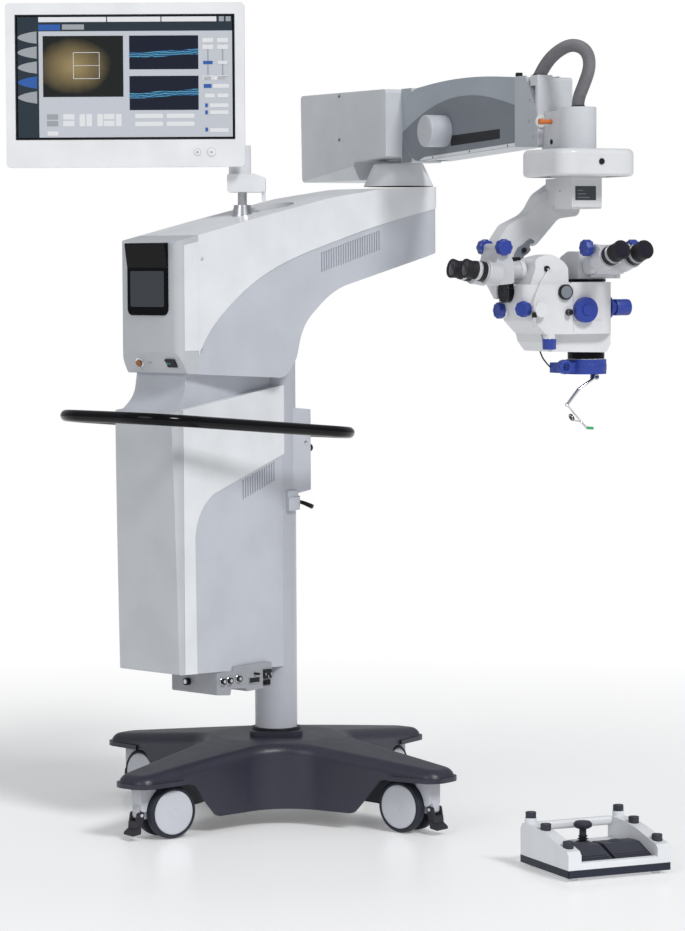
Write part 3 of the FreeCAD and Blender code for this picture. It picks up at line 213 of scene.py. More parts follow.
def screen_image(name, dark, light, scale, distortion, glow):
    """Lit screen area with soft bands, such as a cross-section through tissue."""
    material, tree, shader = new_material(name)
    wave = add_node(tree, "TexWave", Vector=coordinates(tree), Scale=scale, Distortion=distortion, Detail=3.0)
    wave.bands_direction = "Z"
    glow_with(tree, shader, ramp(tree, wave.outputs["Fac"], dark, light, 0.45, 0.95), glow)
    return material


def glow_image(name, dark, light, reach):
    """Dark picture with a soft bright middle, as a view down an optical path."""
    material, tree, shader = new_material(name)
    shift = add_node(tree, "Mapping", Vector=coordinates(tree, "Generated"), Location=(-0.38, 0.0, -0.5),
                     Scale=(1.0, 0.0, 1.0))
    cloud = add_node(tree, "Math")
    cloud.operation = "MULTIPLY_ADD"
    cloud.inputs[1].default_value = 0.10
    tree.links.new(noise(tree, 30.0, 5.0), cloud.inputs[0])
    tree.links.new(distance(tree, shift.outputs["Vector"]), cloud.inputs[2])
    glow_with(tree, shader, ramp(tree, cloud.outputs["Value"], light, dark, 0.12, reach), 0.4)
    return material


def lit(name, colour, glow=0.35):
    """Flat lit area of a screen, with a faint pixel mottle."""
    material, tree, shader = new_material(name)
    tint = ramp(tree, noise(tree, 1400.0, 1.0), shade(colour, 0.97), shade(colour, 1.03), 0.4, 0.6)
    glow_with(tree, shader, tint, glow, 0.22)
    return material


WHITE = surface("white_shell", (0.71, 0.725, 0.75), 0.38, coat=0.12)
MONITOR_WHITE = surface("monitor_white", (0.73, 0.74, 0.76), 0.42)
GREY = surface("grey_shell", (0.48, 0.50, 0.55), 0.42)
FRONT = surface("front_cover", (0.47, 0.49, 0.52), 0.36, coat=0.2)
BOX_GREY = surface("box_grey", (0.56, 0.58, 0.61), 0.40)
COLUMN = surface("column_paint", (0.42, 0.43, 0.48), 0.33, coat=0.25)
BASE = surface("base_cover", (0.020, 0.021, 0.036), 0.38, grain=1500.0, bump=0.16, vary=0.10, gleam=0.5)
CAST = surface("cast_frame", (0.025, 0.025, 0.03), 0.6, grain=350.0, bump=0.4, gleam=0.25)
BLACK = surface("black_trim", (0.009, 0.009, 0.011), 0.42, bump=0.12, gleam=0.28)
GLOSS_BLACK = surface("gloss_black", (0.002, 0.002, 0.003), 0.12, bump=0.01, coat=0.1, gleam=0.12)
GLASS_BLACK = surface("glass_black", (0.002, 0.002, 0.003), 0.09, bump=0.01, coat=0.05, gleam=0.10)
ARM_GREY = surface("arm_grey", (0.33, 0.37, 0.41), 0.36, coat=0.2)
ARM_PANEL = surface("arm_panel", (0.18, 0.20, 0.23), 0.45, gleam=0.35)
HEAD_GREY = surface("head_grey", (0.56, 0.58, 0.61), 0.34, coat=0.2)
CHEEK_GREY = surface("cheek_grey", (0.40, 0.43, 0.47), 0.36, coat=0.2)
HEAD_WHITE = surface("head_white", (0.66, 0.67, 0.69), 0.34, coat=0.2)
OPTIC = surface("optic_grey", (0.52, 0.53, 0.56), 0.36, coat=0.15)
HOSE = surface("hose_grey", (0.17, 0.17, 0.185), 0.55, bump=0.2)
BLUE = surface("knob_blue", (0.016, 0.042, 0.29), 0.42, bump=0.15)
ORANGE = surface("pin_orange", (0.62, 0.17, 0.03), 0.3, coat=0.4)
AMBER = surface("key_amber", (0.30, 0.12, 0.03), 0.25, coat=0.6)
CASTER = surface("caster_grey", (0.50, 0.51, 0.56), 0.45)
TYRE = surface("caster_tyre", (0.020, 0.022, 0.034), 0.55, grain=700.0, bump=0.25, gleam=0.3)
PEDAL = surface("pedal_dark", (0.020, 0.020, 0.027), 0.5, bump=0.2, gleam=0.35)
RUBBER = surface("pedal_rubber", (0.012, 0.012, 0.015), 0.6, grain=700.0, bump=0.35, gleam=0.3)
MAT = surface("pedal_mat", (0.036, 0.038, 0.056), 0.5, grain=700.0, bump=0.3, gleam=0.4)
PLINTH = surface("foot_plinth", (0.014, 0.018, 0.034), 0.5, bump=0.2, gleam=0.35)
CAP_GREY = surface("cap_grey", (0.032, 0.034, 0.048), 0.48, gleam=0.35)
SOCKET_METAL = surface("connector_metal", (0.30, 0.31, 0.34), 0.38, coat=0.1)
GREEN = surface("green_mark", (0.03, 0.40, 0.12), 0.35)
BLUE_MARK = surface("blue_mark", (0.04, 0.16, 0.55), 0.35)
GREY_MARK = surface("grey_mark", (0.32, 0.33, 0.35), 0.4)
LENS = surface("coated_lens", (0.010, 0.008, 0.018), 0.08, bump=0.0, coat=0.3, gleam=0.3)
STEEL = brushed("steel", (0.58, 0.59, 0.62), 0.28, (1.0, 1.0, 9.0))
PLATE_STEEL = brushed("steel_plate", (0.55, 0.56, 0.58), 0.34, (8.0, 1.0, 1.0))
CHROME = brushed("chrome", (0.72, 0.73, 0.75), 0.10, (1.0, 1.0, 1.0))

NODE_LOOKS = {
    WHITE: ("cabinet_side_panels", "arm_upper_shell", "pivot_dome", "monitor_post", "foot_base"),
    HEAD_WHITE: ("xy_coupling", "status_display", "suspension_arm", "microscope_body"),
    MONITOR_WHITE: ("monitor_housing",),
    GREY: ("cabinet_shell", "neck_panel", "rear_housing", "arm_lower_shell", "arm_knob"),
    FRONT: ("cabinet_cover", "arm_nose"),
    BOX_GREY: ("swivel_box",),
    COLUMN: ("column",),
    BASE: ("base_cover",),
    CAST: ("base_frame",),
    BLACK: ("connector_sockets", "power_switch"),
    GLOSS_BLACK: ("push_handle",),
    GLASS_BLACK: ("touch_screen", "monitor_screen"),
    ARM_GREY: ("spring_arm_shell",),
    HEAD_GREY: ("arm_head",),
    OPTIC: ("tube_base", "main_tube", "assistant_tube"),
    BLUE: ("zoom_knob", "handgrip", "viewer_ring"),
    ORANGE: ("lock_pin",),
    AMBER: ("lock_key",),
    SOCKET_METAL: ("connector_panel",),
    STEEL: ("monitor_foot", "spring_arm_link", "balance_spring", "joystick_gimbal"),
    PLATE_STEEL: ("xy_plate",),
    CHROME: ("viewer_arm",),
    MAT: ("foot_pedal_left", "foot_pedal_right"),
    CAP_GREY: ("foot_buttons", "foot_joystick"),
    CASTER: tuple("caster_fork_%d" % k for k in range(1, 5)),
    TYRE: tuple("caster_wheels_%d" % k for k in range(1, 5)),
    PEDAL: tuple("caster_pedal_%d" % k for k in range(1, 5)),
}
for look, names in NODE_LOOKS.items():
    for node in names:
        nodes[node].data.materials.clear()
        nodes[node].data.materials.append(look)


CRISP_ANGLE = math.radians(28)
SMOOTH_ANGLE = math.radians(32)
ROUNDED_ANGLE = math.radians(40)


def crisp_edges(piece):
    """Flats stay flat and rounds stay round, as on the real covers."""
    split = piece.modifiers.new("edges", "EDGE_SPLIT")
    split.split_angle = CRISP_ANGLE
    split.use_edge_sharp = False
    weigh = piece.modifiers.new("flats", "WEIGHTED_NORMAL")
    weigh.keep_sharp = True
    weigh.weight = 100


for piece in nodes.values():
    crisp_edges(piece)


# Construction helpers

def frame_of(body, space=None):
    """The frame a piece is placed in: its body's, unless another is given."""
    return BODY_FRAMES.get(body, ARM) if space is None else space


def finished(name, mesh, place, look, body, rounding=0.0):
    """Places a piece, gives it its finish and lets it ride."""
    mesh.transform(place)
    piece = new_object(name, mesh)
    mesh.materials.append(look)
    if rounding:
        edge = piece.modifiers.new("rounding", "BEVEL")
        edge.width = rounding * MM
        edge.segments = 2
        edge.limit_method = "ANGLE"
        edge.angle_limit = ROUNDED_ANGLE
    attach(piece, body)
    return piece


def mesh_of(name, corners, faces):
    """Mesh from corners in millimetres, smooth but for its sharper edges."""
    mesh = bpy.data.meshes.new(name)
    mesh.from_pydata([Vector(c) * MM for c in corners], [], faces)
    form = bmesh.new()
    form.from_mesh(mesh)
    bmesh.ops.recalc_face_normals(form, faces=form.faces)
    for face in form.faces:
        face.smooth = True
    for edge in form.edges:
        if len(edge.link_faces) == 2 and edge.calc_face_angle(0.0) > SMOOTH_ANGLE:
            edge.smooth = False
    form.to_mesh(mesh)
    form.free()
    return mesh


def axis_place(start, direction):
    """Matrix that puts a shape made along +Z at start (mm), pointing along direction."""
    turn = Vector(direction).to_track_quat("Z", "Y").to_matrix().to_4x4()
    return Matrix.Translation(Vector(start) * MM) @ turn


def lathe(name, profile, start, direction, look, body, count=40, lobes=0, lobe_depth=0.0, space=None):
    """Outline in radius and height, revolved about an axis; lobes scallop its rim like a knob's grip."""
    rim = 0.6 * max(radius for radius, height in profile)
    corners = []
    for radius, height in profile:
        for i in range(count):
            angle = 2 * math.pi * i / count
            reach = radius
            if lobes and radius > rim:
                reach = radius - lobe_depth * (0.5 - 0.5 * math.cos(lobes * angle))
            corners.append((reach * math.cos(angle), reach * math.sin(angle), height))
    faces = []
    for level in range(len(profile) - 1):
        for i in range(count):
            j = (i + 1) % count
            faces.append((level * count + i, level * count + j, (level + 1) * count + j,
                          (level + 1) * count + i))
    faces.append(tuple(range(count)))
    faces.append(tuple((len(profile) - 1) * count + i for i in range(count)))
    place = frame_of(body, space) @ axis_place(start, direction)
    return finished(name, mesh_of(name, corners, faces), place, look, body)


def slab(name, outline, low, high, look, body, side="z", rounding=0.0, space=None):
    """Closed outline with thickness; side is the axis it is raised along."""
    def corner(a, b, c):
        return {"z": (a, b, c), "y": (a, c, b), "x": (c, a, b)}[side]

    count = len(outline)
    corners = [corner(a, b, low) for a, b in outline] + [corner(a, b, high) for a, b in outline]
    faces = [tuple(range(count)), tuple(range(count, 2 * count))]
    for i in range(count):
        j = (i + 1) % count
        faces.append((i, j, count + j, count + i))
    return finished(name, mesh_of(name, corners, faces), frame_of(body, space), look, body, rounding)


def rectangle(a_low, b_low, a_high, b_high):
    return [(a_low, b_low), (a_high, b_low), (a_high, b_high), (a_low, b_high)]


def rounded(a_low, b_low, a_high, b_high, radius, steps=5):
    """Rectangle with rounded corners as an outline."""
    points = []
    for a, b, first in ((a_high - radius, b_low + radius, -90), (a_high - radius, b_high - radius, 0),
                        (a_low + radius, b_high - radius, 90), (a_low + radius, b_low + radius, 180)):
        for i in range(steps + 1):
            angle = math.radians(first + 90.0 * i / steps)
            points.append((a + radius * math.cos(angle), b + radius * math.sin(angle)))
    return points


def spline_points(points):
    """Points along a smooth line through a given route."""
    curve = bpy.data.curves.new("route", "CURVE")
    curve.dimensions = "3D"
    spline = curve.splines.new("NURBS")
    spline.points.add(len(points) - 1)
    for place, point in zip(spline.points, points):
        place.co = (*[c * MM for c in point], 1)
    spline.order_u = 3
    spline.use_endpoint_u = True
    curve.resolution_u = 14
    holder = bpy.data.objects.new("route", curve)
    line = bpy.data.meshes.new_from_object(holder)
    result = [v.co.copy() for v in line.vertices]
    bpy.data.objects.remove(holder)
    bpy.data.meshes.remove(line)
    bpy.data.curves.remove(curve)
    return result


def swept(name, path, radius_at, look, body, count):
    """Tube along points in metres; radius_at gives its radius in mm at a distance along it in mm."""
    travelled = 0.0
    corners = []
    side = None
    for i, point in enumerate(path):
        before = path[max(i - 1, 0)]
        after = path[min(i + 1, len(path) - 1)]
        along = (after - before).normalized()
        if side is None:
            side = along.orthogonal().normalized()
        side = (side - along * side.dot(along)).normalized()
        up = along.cross(side)
        if i:
            travelled += (point - path[i - 1]).length / MM
        radius = radius_at(travelled) * MM
        for k in range(count):
            angle = 2 * math.pi * k / count
            corners.append((point + (side * math.cos(angle) + up * math.sin(angle)) * radius) / MM)
    faces = []
    for i in range(len(path) - 1):
        for k in range(count):
            j = (k + 1) % count
            faces.append((i * count + k, i * count + j, (i + 1) * count + j, (i + 1) * count + k))
    faces.append(tuple(range(count)))
    faces.append(tuple((len(path) - 1) * count + k for k in range(count)))
    return finished(name, mesh_of(name, corners, faces), frame_of(body), look, body)


def evenly(path, spacing):
    """The path's points again, spacing mm apart."""
    result = [path[0]]
    left = spacing * MM
    for first, last in zip(path, path[1:]):
        span = (last - first).length
        at = left
        while at <= span:
            result.append(first.lerp(last, at / span))
            at += spacing * MM
        left = at - span
    return result


def wire(name, points, radius, look, body):
    return swept(name, evenly(spline_points(points), 3.0), lambda s: radius, look, body, 12)


def screw(name, start, direction, radius, body, look=STEEL):
    """Countersunk screw with a hexagon recess."""
    lathe(name, [(radius, 0), (radius, 0.7), (radius * 0.86, 1.1), (radius * 0.5, 1.1), (radius * 0.5, 0.3)],
          start, direction, look, body, 24)


def knob(name, start, direction, radius, length, look, body, lobes, depth):
    """Turned grip with a rounded, lobed rim and a shallow dish."""
    edge = min(2.2, length * 0.2)
    profile = [(radius * 0.9, 0), (radius, edge * 0.6), (radius, length - edge),
               (radius - edge * 0.4, length - edge * 0.3), (radius - edge, length), (radius * 0.62, length),
               (radius * 0.56, length - 0.8), (0.6, length - 0.8)]
    return lathe(name, profile, start, direction, look, body, 72, lobes, depth)


# Monitor

SCREEN_MID_X = -277.0
SCREEN_MID_Z = 1802.0
SCREEN_W = 520.0
SCREEN_H = 292.5
SCREEN_FACE = -60.5
SCREEN_STEP = 0.35
GASKET_HALF = 1.5
TOUCH_KEY_HEIGHT = 1622.0
VENT_COUNT = 22
VENT_PITCH = 20.0
PLATE_HEIGHT = 1783.0
RETICLE = 31.0

NAVY = lit("screen_navy", (0.002, 0.004, 0.016), 0.2)
PAGE = lit("screen_page", (0.42, 0.44, 0.48), 0.2)
PAPER = lit("screen_white", (0.60, 0.61, 0.63), 0.16)
TAB_BLUE = lit("screen_blue", (0.022, 0.085, 0.30), 0.2)
TAB_GREY = lit("screen_grey", (0.26, 0.28, 0.30), 0.2)
SLATE = lit("screen_slate", (0.014, 0.024, 0.034), 0.2)
IMAGE_DARK = glow_image("screen_fundus", (0.003, 0.004, 0.004), (0.20, 0.15, 0.065), 0.52)
IMAGE_SCAN = screen_image("screen_scan", (0.008, 0.035, 0.12), (0.06, 0.26, 0.34), 60.0, 5.0, 0.4)


def screen_x(share):
    """Place across the screen, as a share of its width from the left."""
    return SCREEN_MID_X + (share - 0.5) * SCREEN_W


def screen_z(share):
    """Height on the screen, as a share of its height from the top."""
    return SCREEN_MID_Z + (0.5 - share) * SCREEN_H


def screen_slab(name, outline, layer, thickness, look):
    """Thin area in a layer of the screen; layers count outwards from the glass."""
    face = SCREEN_FACE - SCREEN_STEP * layer
    slab("screen_" + name, outline, face, face + thickness, look, "monitor", "y")


def on_screen(name, left, top, right, bottom, look, layer, radius=0.0):
    """Lit area of the screen; the places are shares of its width and height from the top left."""
    corners = (screen_x(left), screen_z(bottom), screen_x(right), screen_z(top))
    outline = rounded(*corners, radius) if radius else rectangle(*corners)
    screen_slab(name, outline, layer, SCREEN_STEP * 1.1, look)


def leaf(left, top, right, bottom):
    """Tab that is straight at left and bulges towards right, as corner points on the screen."""
    low = screen_z(bottom)
    rise = screen_z(top) - low
    reach = (right - left) * SCREEN_W
    points = []
    for i in range(13):
        share = i / 12.0
        points.append((screen_x(left) + reach * math.sin(math.pi * share) ** 0.75, low + rise * share))
    return points


def make_screen_bars():
    """Page, side bar and top bar, with their fields and tabs."""
    on_screen("page", 0.006, 0.010, 0.994, 0.990, PAGE, 1)
    on_screen("sidebar", 0.006, 0.008, 0.103, 0.992, SLATE, 2)
    on_screen("top_bar", 0.103, 0.008, 0.994, 0.125, SLATE, 2)
    fields = ((0.103, 0.415), (0.420, 0.665), (0.670, 0.922), (0.934, 0.957), (0.965, 0.988))
    for i, (left, right) in enumerate(fields):
        on_screen("field_%d" % i, left, 0.010, right, 0.050, PAPER if i < 3 else TAB_GREY, 3)
    on_screen("step_now", 0.103, 0.070, 0.203, 0.118, TAB_BLUE, 3)
    on_screen("step_next", 0.212, 0.070, 0.313, 0.112, TAB_GREY, 3)
    for i in range(5):
        top = 0.125 + 0.122 * i
        screen_slab("tab_%d" % i, leaf(0.094, top, 0.006, top + 0.100), 3, SCREEN_STEP,
                    TAB_BLUE if i == 3 else TAB_GREY)


def make_screen_pictures():
    """Live picture, and two scans with a wavy band in each."""
    on_screen("picture", 0.122, 0.163, 0.492, 0.660, IMAGE_DARK, 2)
    for i, (top, bottom) in enumerate(((0.163, 0.438), (0.492, 0.770))):
        on_screen("scan_%d" % i, 0.520, top, 0.838, bottom, NAVY, 2)
        base = screen_z((top + bottom) / 2.0) - 6.0
        low, high = [], []
        for k in range(17):
            x = screen_x(0.520 + 0.318 * k / 16.0)
            low.append((x, base - 7.0 + 1.0 * k / 2.0 + 1.2 * math.cos(0.5 * k + 1.1 * i)))
            high.append((x, base + 5.0 + 1.2 * k / 2.0 + 1.4 * math.cos(0.8 * k + 0.8 * i)))
        screen_slab("band_%d" % i, low + high[::-1], 3, SCREEN_STEP, IMAGE_SCAN)


def make_screen_sliders():
    """Two sliders and the choices under them, at the page's right."""
    for i, left in enumerate((0.882, 0.950)):
        on_screen("slider_%d" % i, left - 0.003, 0.235, left + 0.003, 0.490, TAB_GREY, 2)
        for j, top in enumerate((0.185, 0.240, 0.490)):
            on_screen("slider_end_%d_%d" % (i, j), left - 0.025, top, left + 0.025,
                      top + 0.036, PAPER, 3, 1.5)
        grip = TAB_BLUE if i == 0 else PAPER
        on_screen("slider_grip_%d" % i, left - 0.022, 0.372, left + 0.022, 0.398, grip, 4, 1.5)
    choices = ((0.862, 0.560, 0.898), (0.905, 0.560, 0.978), (0.868, 0.638, 0.912), (0.925, 0.638, 0.975),
               (0.868, 0.718, 0.880), (0.890, 0.718, 0.975), (0.868, 0.775, 0.880), (0.890, 0.775, 0.975),
               (0.868, 0.915, 0.880), (0.890, 0.920, 0.975), (0.862, 0.495, 0.898), (0.908, 0.495, 0.975))
    for i, (left, top, right) in enumerate(choices):
        look = TAB_BLUE if i in (0, 4, 6, 8) else PAPER
        on_screen("choice_%d" % i, left, top, right, top + 0.032, look, 3, 1.0)


def make_screen_keys():
    """Keys along the page's foot."""
    for i in range(2):
        left = 0.545 + 0.145 * i
        for j, top in enumerate((0.800, 0.865)):
            on_screen("action_%d_%d" % (i, j), left, top, left + 0.128, top + 0.036, PAPER, 2, 1.5)
    for i, (left, look) in enumerate(((0.138, TAB_GREY), (0.213, PAPER))):
        for j, top in enumerate((0.800, 0.855)):
            on_screen("key_%d_%d" % (i, j), left, top, left + 0.052, top + 0.044, look, 2, 1.5)
    for i, left in enumerate((0.288, 0.320, 0.370, 0.456)):
        on_screen("tall_key_%d" % i, left, 0.800, left + 0.026, 0.900, PAPER, 2, 1.5)
    for j, top in enumerate((0.800, 0.855)):
        on_screen("middle_key_%d" % j, 0.400, top, 0.450, top + 0.044, PAPER, 2, 1.5)
    on_screen("low_key", 0.140, 0.940, 0.190, 0.975, PAPER, 2, 1.5)


def make_reticle():
    """Thin square on the live picture, with a line through its middle."""
    x = screen_x(0.322)
    z = screen_z(0.405)
    bars = ((0, RETICLE, RETICLE, 0.6), (0, -RETICLE, RETICLE, 0.6), (RETICLE, 0, 0.6, RETICLE),
            (-RETICLE, 0, 0.6, RETICLE), (0, 0, RETICLE, 0.5))
    for i, (a, b, w, h) in enumerate(bars):
        outline = rectangle(x + a - w, z + b - h, x + a + w, z + b + h)
        screen_slab("reticle_%d" % i, outline, 3, SCREEN_STEP, PAPER)


def make_monitor_trim():
    """Gasket round the glass, touch keys, back vents drawn as black slots of painted shade, and screws."""
    half_w = SCREEN_W / 2.0 + GASKET_HALF
    half_h = SCREEN_H / 2.0 + GASKET_HALF
    strips = ((0, half_h, half_w, GASKET_HALF), (0, -half_h, half_w, GASKET_HALF),
              (half_w, 0, GASKET_HALF, half_h + GASKET_HALF), (-half_w, 0, GASKET_HALF, half_h + GASKET_HALF))
    for i, (x, z, w, h) in enumerate(strips):
        outline = rounded(SCREEN_MID_X + x - w, SCREEN_MID_Z + z - h, SCREEN_MID_X + x + w,
                          SCREEN_MID_Z + z + h, 0.5, 1)
        slab("screen_frame_%d" % i, outline, -62.6, -61.0, BLACK, "monitor", "y")
    for i, x in enumerate((172.0, 206.0)):
        place = (SCREEN_MID_X + x, -62.0, TOUCH_KEY_HEIGHT)
        size = 9.6 + 2.2 * i
        key = [(size, 0), (size, 0.5), (size - 0.4, 0.7), (0.5, 0.7)]
        rim = [(size - 0.9, 0.6), (size - 0.9, 0.85), (size - 1.7, 0.85), (size - 1.7, 0.6)]
        lathe("touch_key_%d" % i, key, place, NEAR, MONITOR_WHITE, "monitor")
        lathe("touch_key_ring_%d" % i, rim, place, NEAR, GREY_MARK, "monitor")
        lathe("touch_key_mark_%d" % i, [(2.6, 0), (2.6, 0.9), (0.4, 0.9)], place, NEAR, GREY_MARK, "monitor")
    # The vents are black slabs: painted shade where the openings are.
    for i in range(VENT_COUNT):
        x = SCREEN_MID_X + VENT_PITCH * (i - (VENT_COUNT - 1) / 2)
        slab("monitor_vent_shade_%d" % i, rounded(x, 1926, x + 9, 1952, 4), -28.4, -27.2, BLACK, "monitor", "y")
    for i, (x, z) in enumerate(((-50, -40), (50, -40), (-50, 40), (50, 40))):
        screw("monitor_plate_screw_%d" % i, (SCREEN_MID_X + x, -22.0, PLATE_HEIGHT + z), FAR, 4.0, "monitor")


make_screen_bars()
make_screen_pictures()
make_screen_sliders()
make_screen_keys()
make_reticle()
make_monitor_trim()


# Front of the upper housing, cabinet and stand

NOSE_FACE = -415.0
PANEL_FACE = NOSE_FACE - 4.0
NOSE_HALF = 103.0
NOSE_SKIN = [(-396, 1151), (-351, 1151), (-351, 1407), (-396, 1398)]
SLOPE_RUN = 27.0
SLOPE_RISE = 51.0
SLOPE_LOW = 1097.0
SLOPE = math.atan2(SLOPE_RUN, SLOPE_RISE)
SLOPE_OUT = (0, -math.cos(SLOPE), -math.sin(SLOPE))
COLLAR_TOP = 211.0
CLAMP_HEIGHT = 768.0
BALL_RADIUS = 10.3
CONNECTOR_FACE = 78.0


def nose_slope(x, out):
    """A place on the nose's sloping lower face, out mm proud of it."""
    return (x, NOSE_FACE + SLOPE_RUN / 2 + out * SLOPE_OUT[1],
            SLOPE_LOW + SLOPE_RISE / 2 + out * SLOPE_OUT[2])


def make_nose_details():
    """Display, key bezel, side skins, marks and screws."""
    slab("touch_panel_display", rounded(-58, 1254, 58, 1338, 4), PANEL_FACE - 0.5, PANEL_FACE + 0.3,
         lit("panel_display", (0.026, 0.032, 0.038), 0.2), "stand", "y")
    lathe("key_bezel", [(12.5, 0), (12.5, 1.6), (11.5, 2.2), (8.6, 2.2), (8.6, 0.2)], nose_slope(-46, 0.0),
          SLOPE_OUT, CHROME, "stand")
    for tag, side in (("far", -1), ("near", 1)):
        face = side * NOSE_HALF
        slab("nose_side_skin_" + tag, NOSE_SKIN, face, face + side * 0.4, WHITE, "stand", "x")
    for i, x in enumerate((-14, -8)):
        lathe("status_mark_%d" % i, [(2.2, 0), (2.2, 0.8), (0.4, 0.8)], nose_slope(x, 0.0), SLOPE_OUT,
              GREY_MARK, "stand", 20)
    for i, (x, look) in enumerate(((53, GREEN), (60, BLUE_MARK))):
        lathe("rocker_mark_%d" % i, [(2.4, 0), (2.4, 0.5), (0.4, 0.5)], nose_slope(x, 3.2), SLOPE_OUT, look,
              "power_switch", 20)
    for i, (x, y, z) in enumerate(((101.6, -338, 1366), (99.8, -340, 1150))):
        screw("nose_screw_%d" % i, (x, y, z), RIGHT, 4.6, "stand")
        screw("nose_screw_far_%d" % i, (-x, y, z), (-1, 0, 0), 4.6, "stand")


def make_rear_details():
    """Clamp lever and fixing screws behind the column, and the collar where it enters the base."""
    screw("rear_screw", (50.0, 58, 915), RIGHT, 5.0, "stand")
    screw("rear_screw_far", (-50.0, 58, 915), (-1, 0, 0), 5.0, "stand")
    lathe("clamp_hub", [(11, 0), (11, 9), (9.5, 11), (6, 11), (5.4, 9.6), (0.5, 9.6)], (0, 61, CLAMP_HEIGHT),
          FAR, BLACK, "stand")
    lever = [(0, 68, CLAMP_HEIGHT), (14, 72, CLAMP_HEIGHT), (36, 76, CLAMP_HEIGHT - 6),
             (52, 80, CLAMP_HEIGHT - 12)]
    swept("clamp_lever", evenly(spline_points(lever), 2.0), lambda s: 4.2 + s * 0.03, BLACK, "stand", 16)
    angles = [math.radians(degrees) for degrees in range(15, 176, 10)]
    ball = [(BALL_RADIUS * math.sin(angle), -BALL_RADIUS * math.cos(angle)) for angle in angles]
    lathe("ball_knob", [(4.2, -13.6), *ball, (0.4, BALL_RADIUS)], (20, 100, 900), FAR, BLACK, "stand", 48)
    lathe("column_collar", [(60, 0), (60, 3.6), (58, 6), (52.6, 6), (52.6, 0)], (0, 0, COLLAR_TOP), UP,
          BLACK, "stand", 72)


def make_socket_details():
    """Rims and pins of the sockets on the connector box."""
    face = CONNECTOR_FACE
    for i, (y, z) in enumerate(((-258, 358), (-236, 358), (-206, 360))):
        lathe("socket_rim_%d" % i, [(10, 0), (10, 2.4), (9, 3.2), (7.7, 3.2), (7.7, 0)], (face, y, z), RIGHT,
              STEEL, "stand", 32)
        lathe("socket_core_%d" % i, [(4, 0), (4, 1.2), (0.4, 1.2)], (face + 8, y, z),
              RIGHT, STEEL, "stand", 24)
    slab("data_socket_shell", rounded(-170, 344.5, -136, 359.5, 4), face, face + 3.2, STEEL, "stand", "x")
    slab("mains_switch", rounded(-120, 338, -103, 346, 1.5), face + 4, face + 7,
         GLOSS_BLACK, "stand", "x", 0.8)
    for i, (y, z) in enumerate(((-119, 363), (-101, 363), (-110, 356))):
        slab("mains_pin_%d" % i, rounded(y - 1, z - 3, y + 1, z + 3, 0.5, 1), face + 6, face + 8,
             STEEL, "stand", "x")
    lathe("panel_lock_core", [(5.4, 0), (5.4, 1.6), (0.4, 1.6)], (-20, -287, 352), NEAR, STEEL, "stand", 24)


make_nose_details()
make_rear_details()
make_socket_details()


# Casters

CASTER_REACH = 450.0
BASE_TURN = 4.5
CASTER_TURNS = (0.0, 12.0, -8.0, -16.0)
CASTER_TRAIL = 35.0
WHEEL_RADIUS = 62.5
WHEEL_SIDE = 40.0
WHEEL_DISC = [(52.2, 0), (52.2, 1.2), (50.6, 2.2), (47, 2.5), (30, 3.1), (9, 3.3), (8, 2.4), (0.5, 2.4)]


def caster_frame(k):
    angle = BASE_TURN + 90.0 * k
    place = Matrix.Rotation(math.radians(angle), 4, "Z") @ Vector((CASTER_REACH * MM, 0, 0))
    return Matrix.Translation(place) @ Matrix.Rotation(math.radians(angle + 180 + CASTER_TURNS[k]), 4, "Z")


def make_caster_details():
    """Cover discs in the outer faces of each twin wheel."""
    for k in range(4):
        space = caster_frame(k)
        for side, tag in SIDES:
            hub = (CASTER_TRAIL, side * (WHEEL_SIDE - 2.9), WHEEL_RADIUS)
            lathe("caster_%d_%s_disc" % (k + 1, tag), WHEEL_DISC, hub, (0, side, 0), CASTER,
                  "wheels_%d" % (k + 1), 64, space=space)


make_caster_details()


# Swivel box and spring arm

ARM_HALF = 42.0
BOX_HALF = 88.0
HEAD_HALF = 46.9
KNOB_FACE = -98.4
SKIN = 0.2
ARM_ROUND = (192.0, 1697.0)
ARM_ROUND_RADIUS = 90.2
WEB_RADIUS = 91.7
WEB_REAR = 99.0
WEB_FRONT = 149.0
WEB_TOP = 1788.4
WEB_LOW = 1604.6
ARM_LOW = (1606.0, 1627.0)
ARM_LOW_SPAN = (192.0, 685.0)
ARCH = [(103, 1681), (115, 1687), (176, 1712), (252, 1737), (348, 1755), (460, 1758),
        (568, 1745), (669, 1722)]
SLOT = [(352, 1638), (592, 1647), (592, 1670), (352, 1663)]
CHEEK = [(672, 1625), (773, 1621), (774, 1699), (721, 1788), (672, 1788)]


def arm_low_edge(u):
    """Height of the arm's lower edge."""
    share = (u - ARM_LOW_SPAN[0]) / (ARM_LOW_SPAN[1] - ARM_LOW_SPAN[0])
    return ARM_LOW[0] + (ARM_LOW[1] - ARM_LOW[0]) * share


def arm_panel_outline():
    """Panel under the arch, round at its rear end."""
    arch = [(p.x / MM, p.z / MM) for p in spline_points([(u, 0, z) for u, z in ARCH])]
    low = [(u, arm_low_edge(u) + 9.0) for u in (669, 560, 400, 250, 220)]
    return arch + low + arm_round(ARM_ROUND_RADIUS, 263.0, 191.0)


def arm_round(radius, first, last):
    """Points about the arm's rear pivot, from one angle to another."""
    points = []
    for i in range(17):
        angle = math.radians(first + (last - first) * i / 16.0)
        points.append((ARM_ROUND[0] + radius * math.cos(angle), ARM_ROUND[1] + radius * math.sin(angle)))
    return points


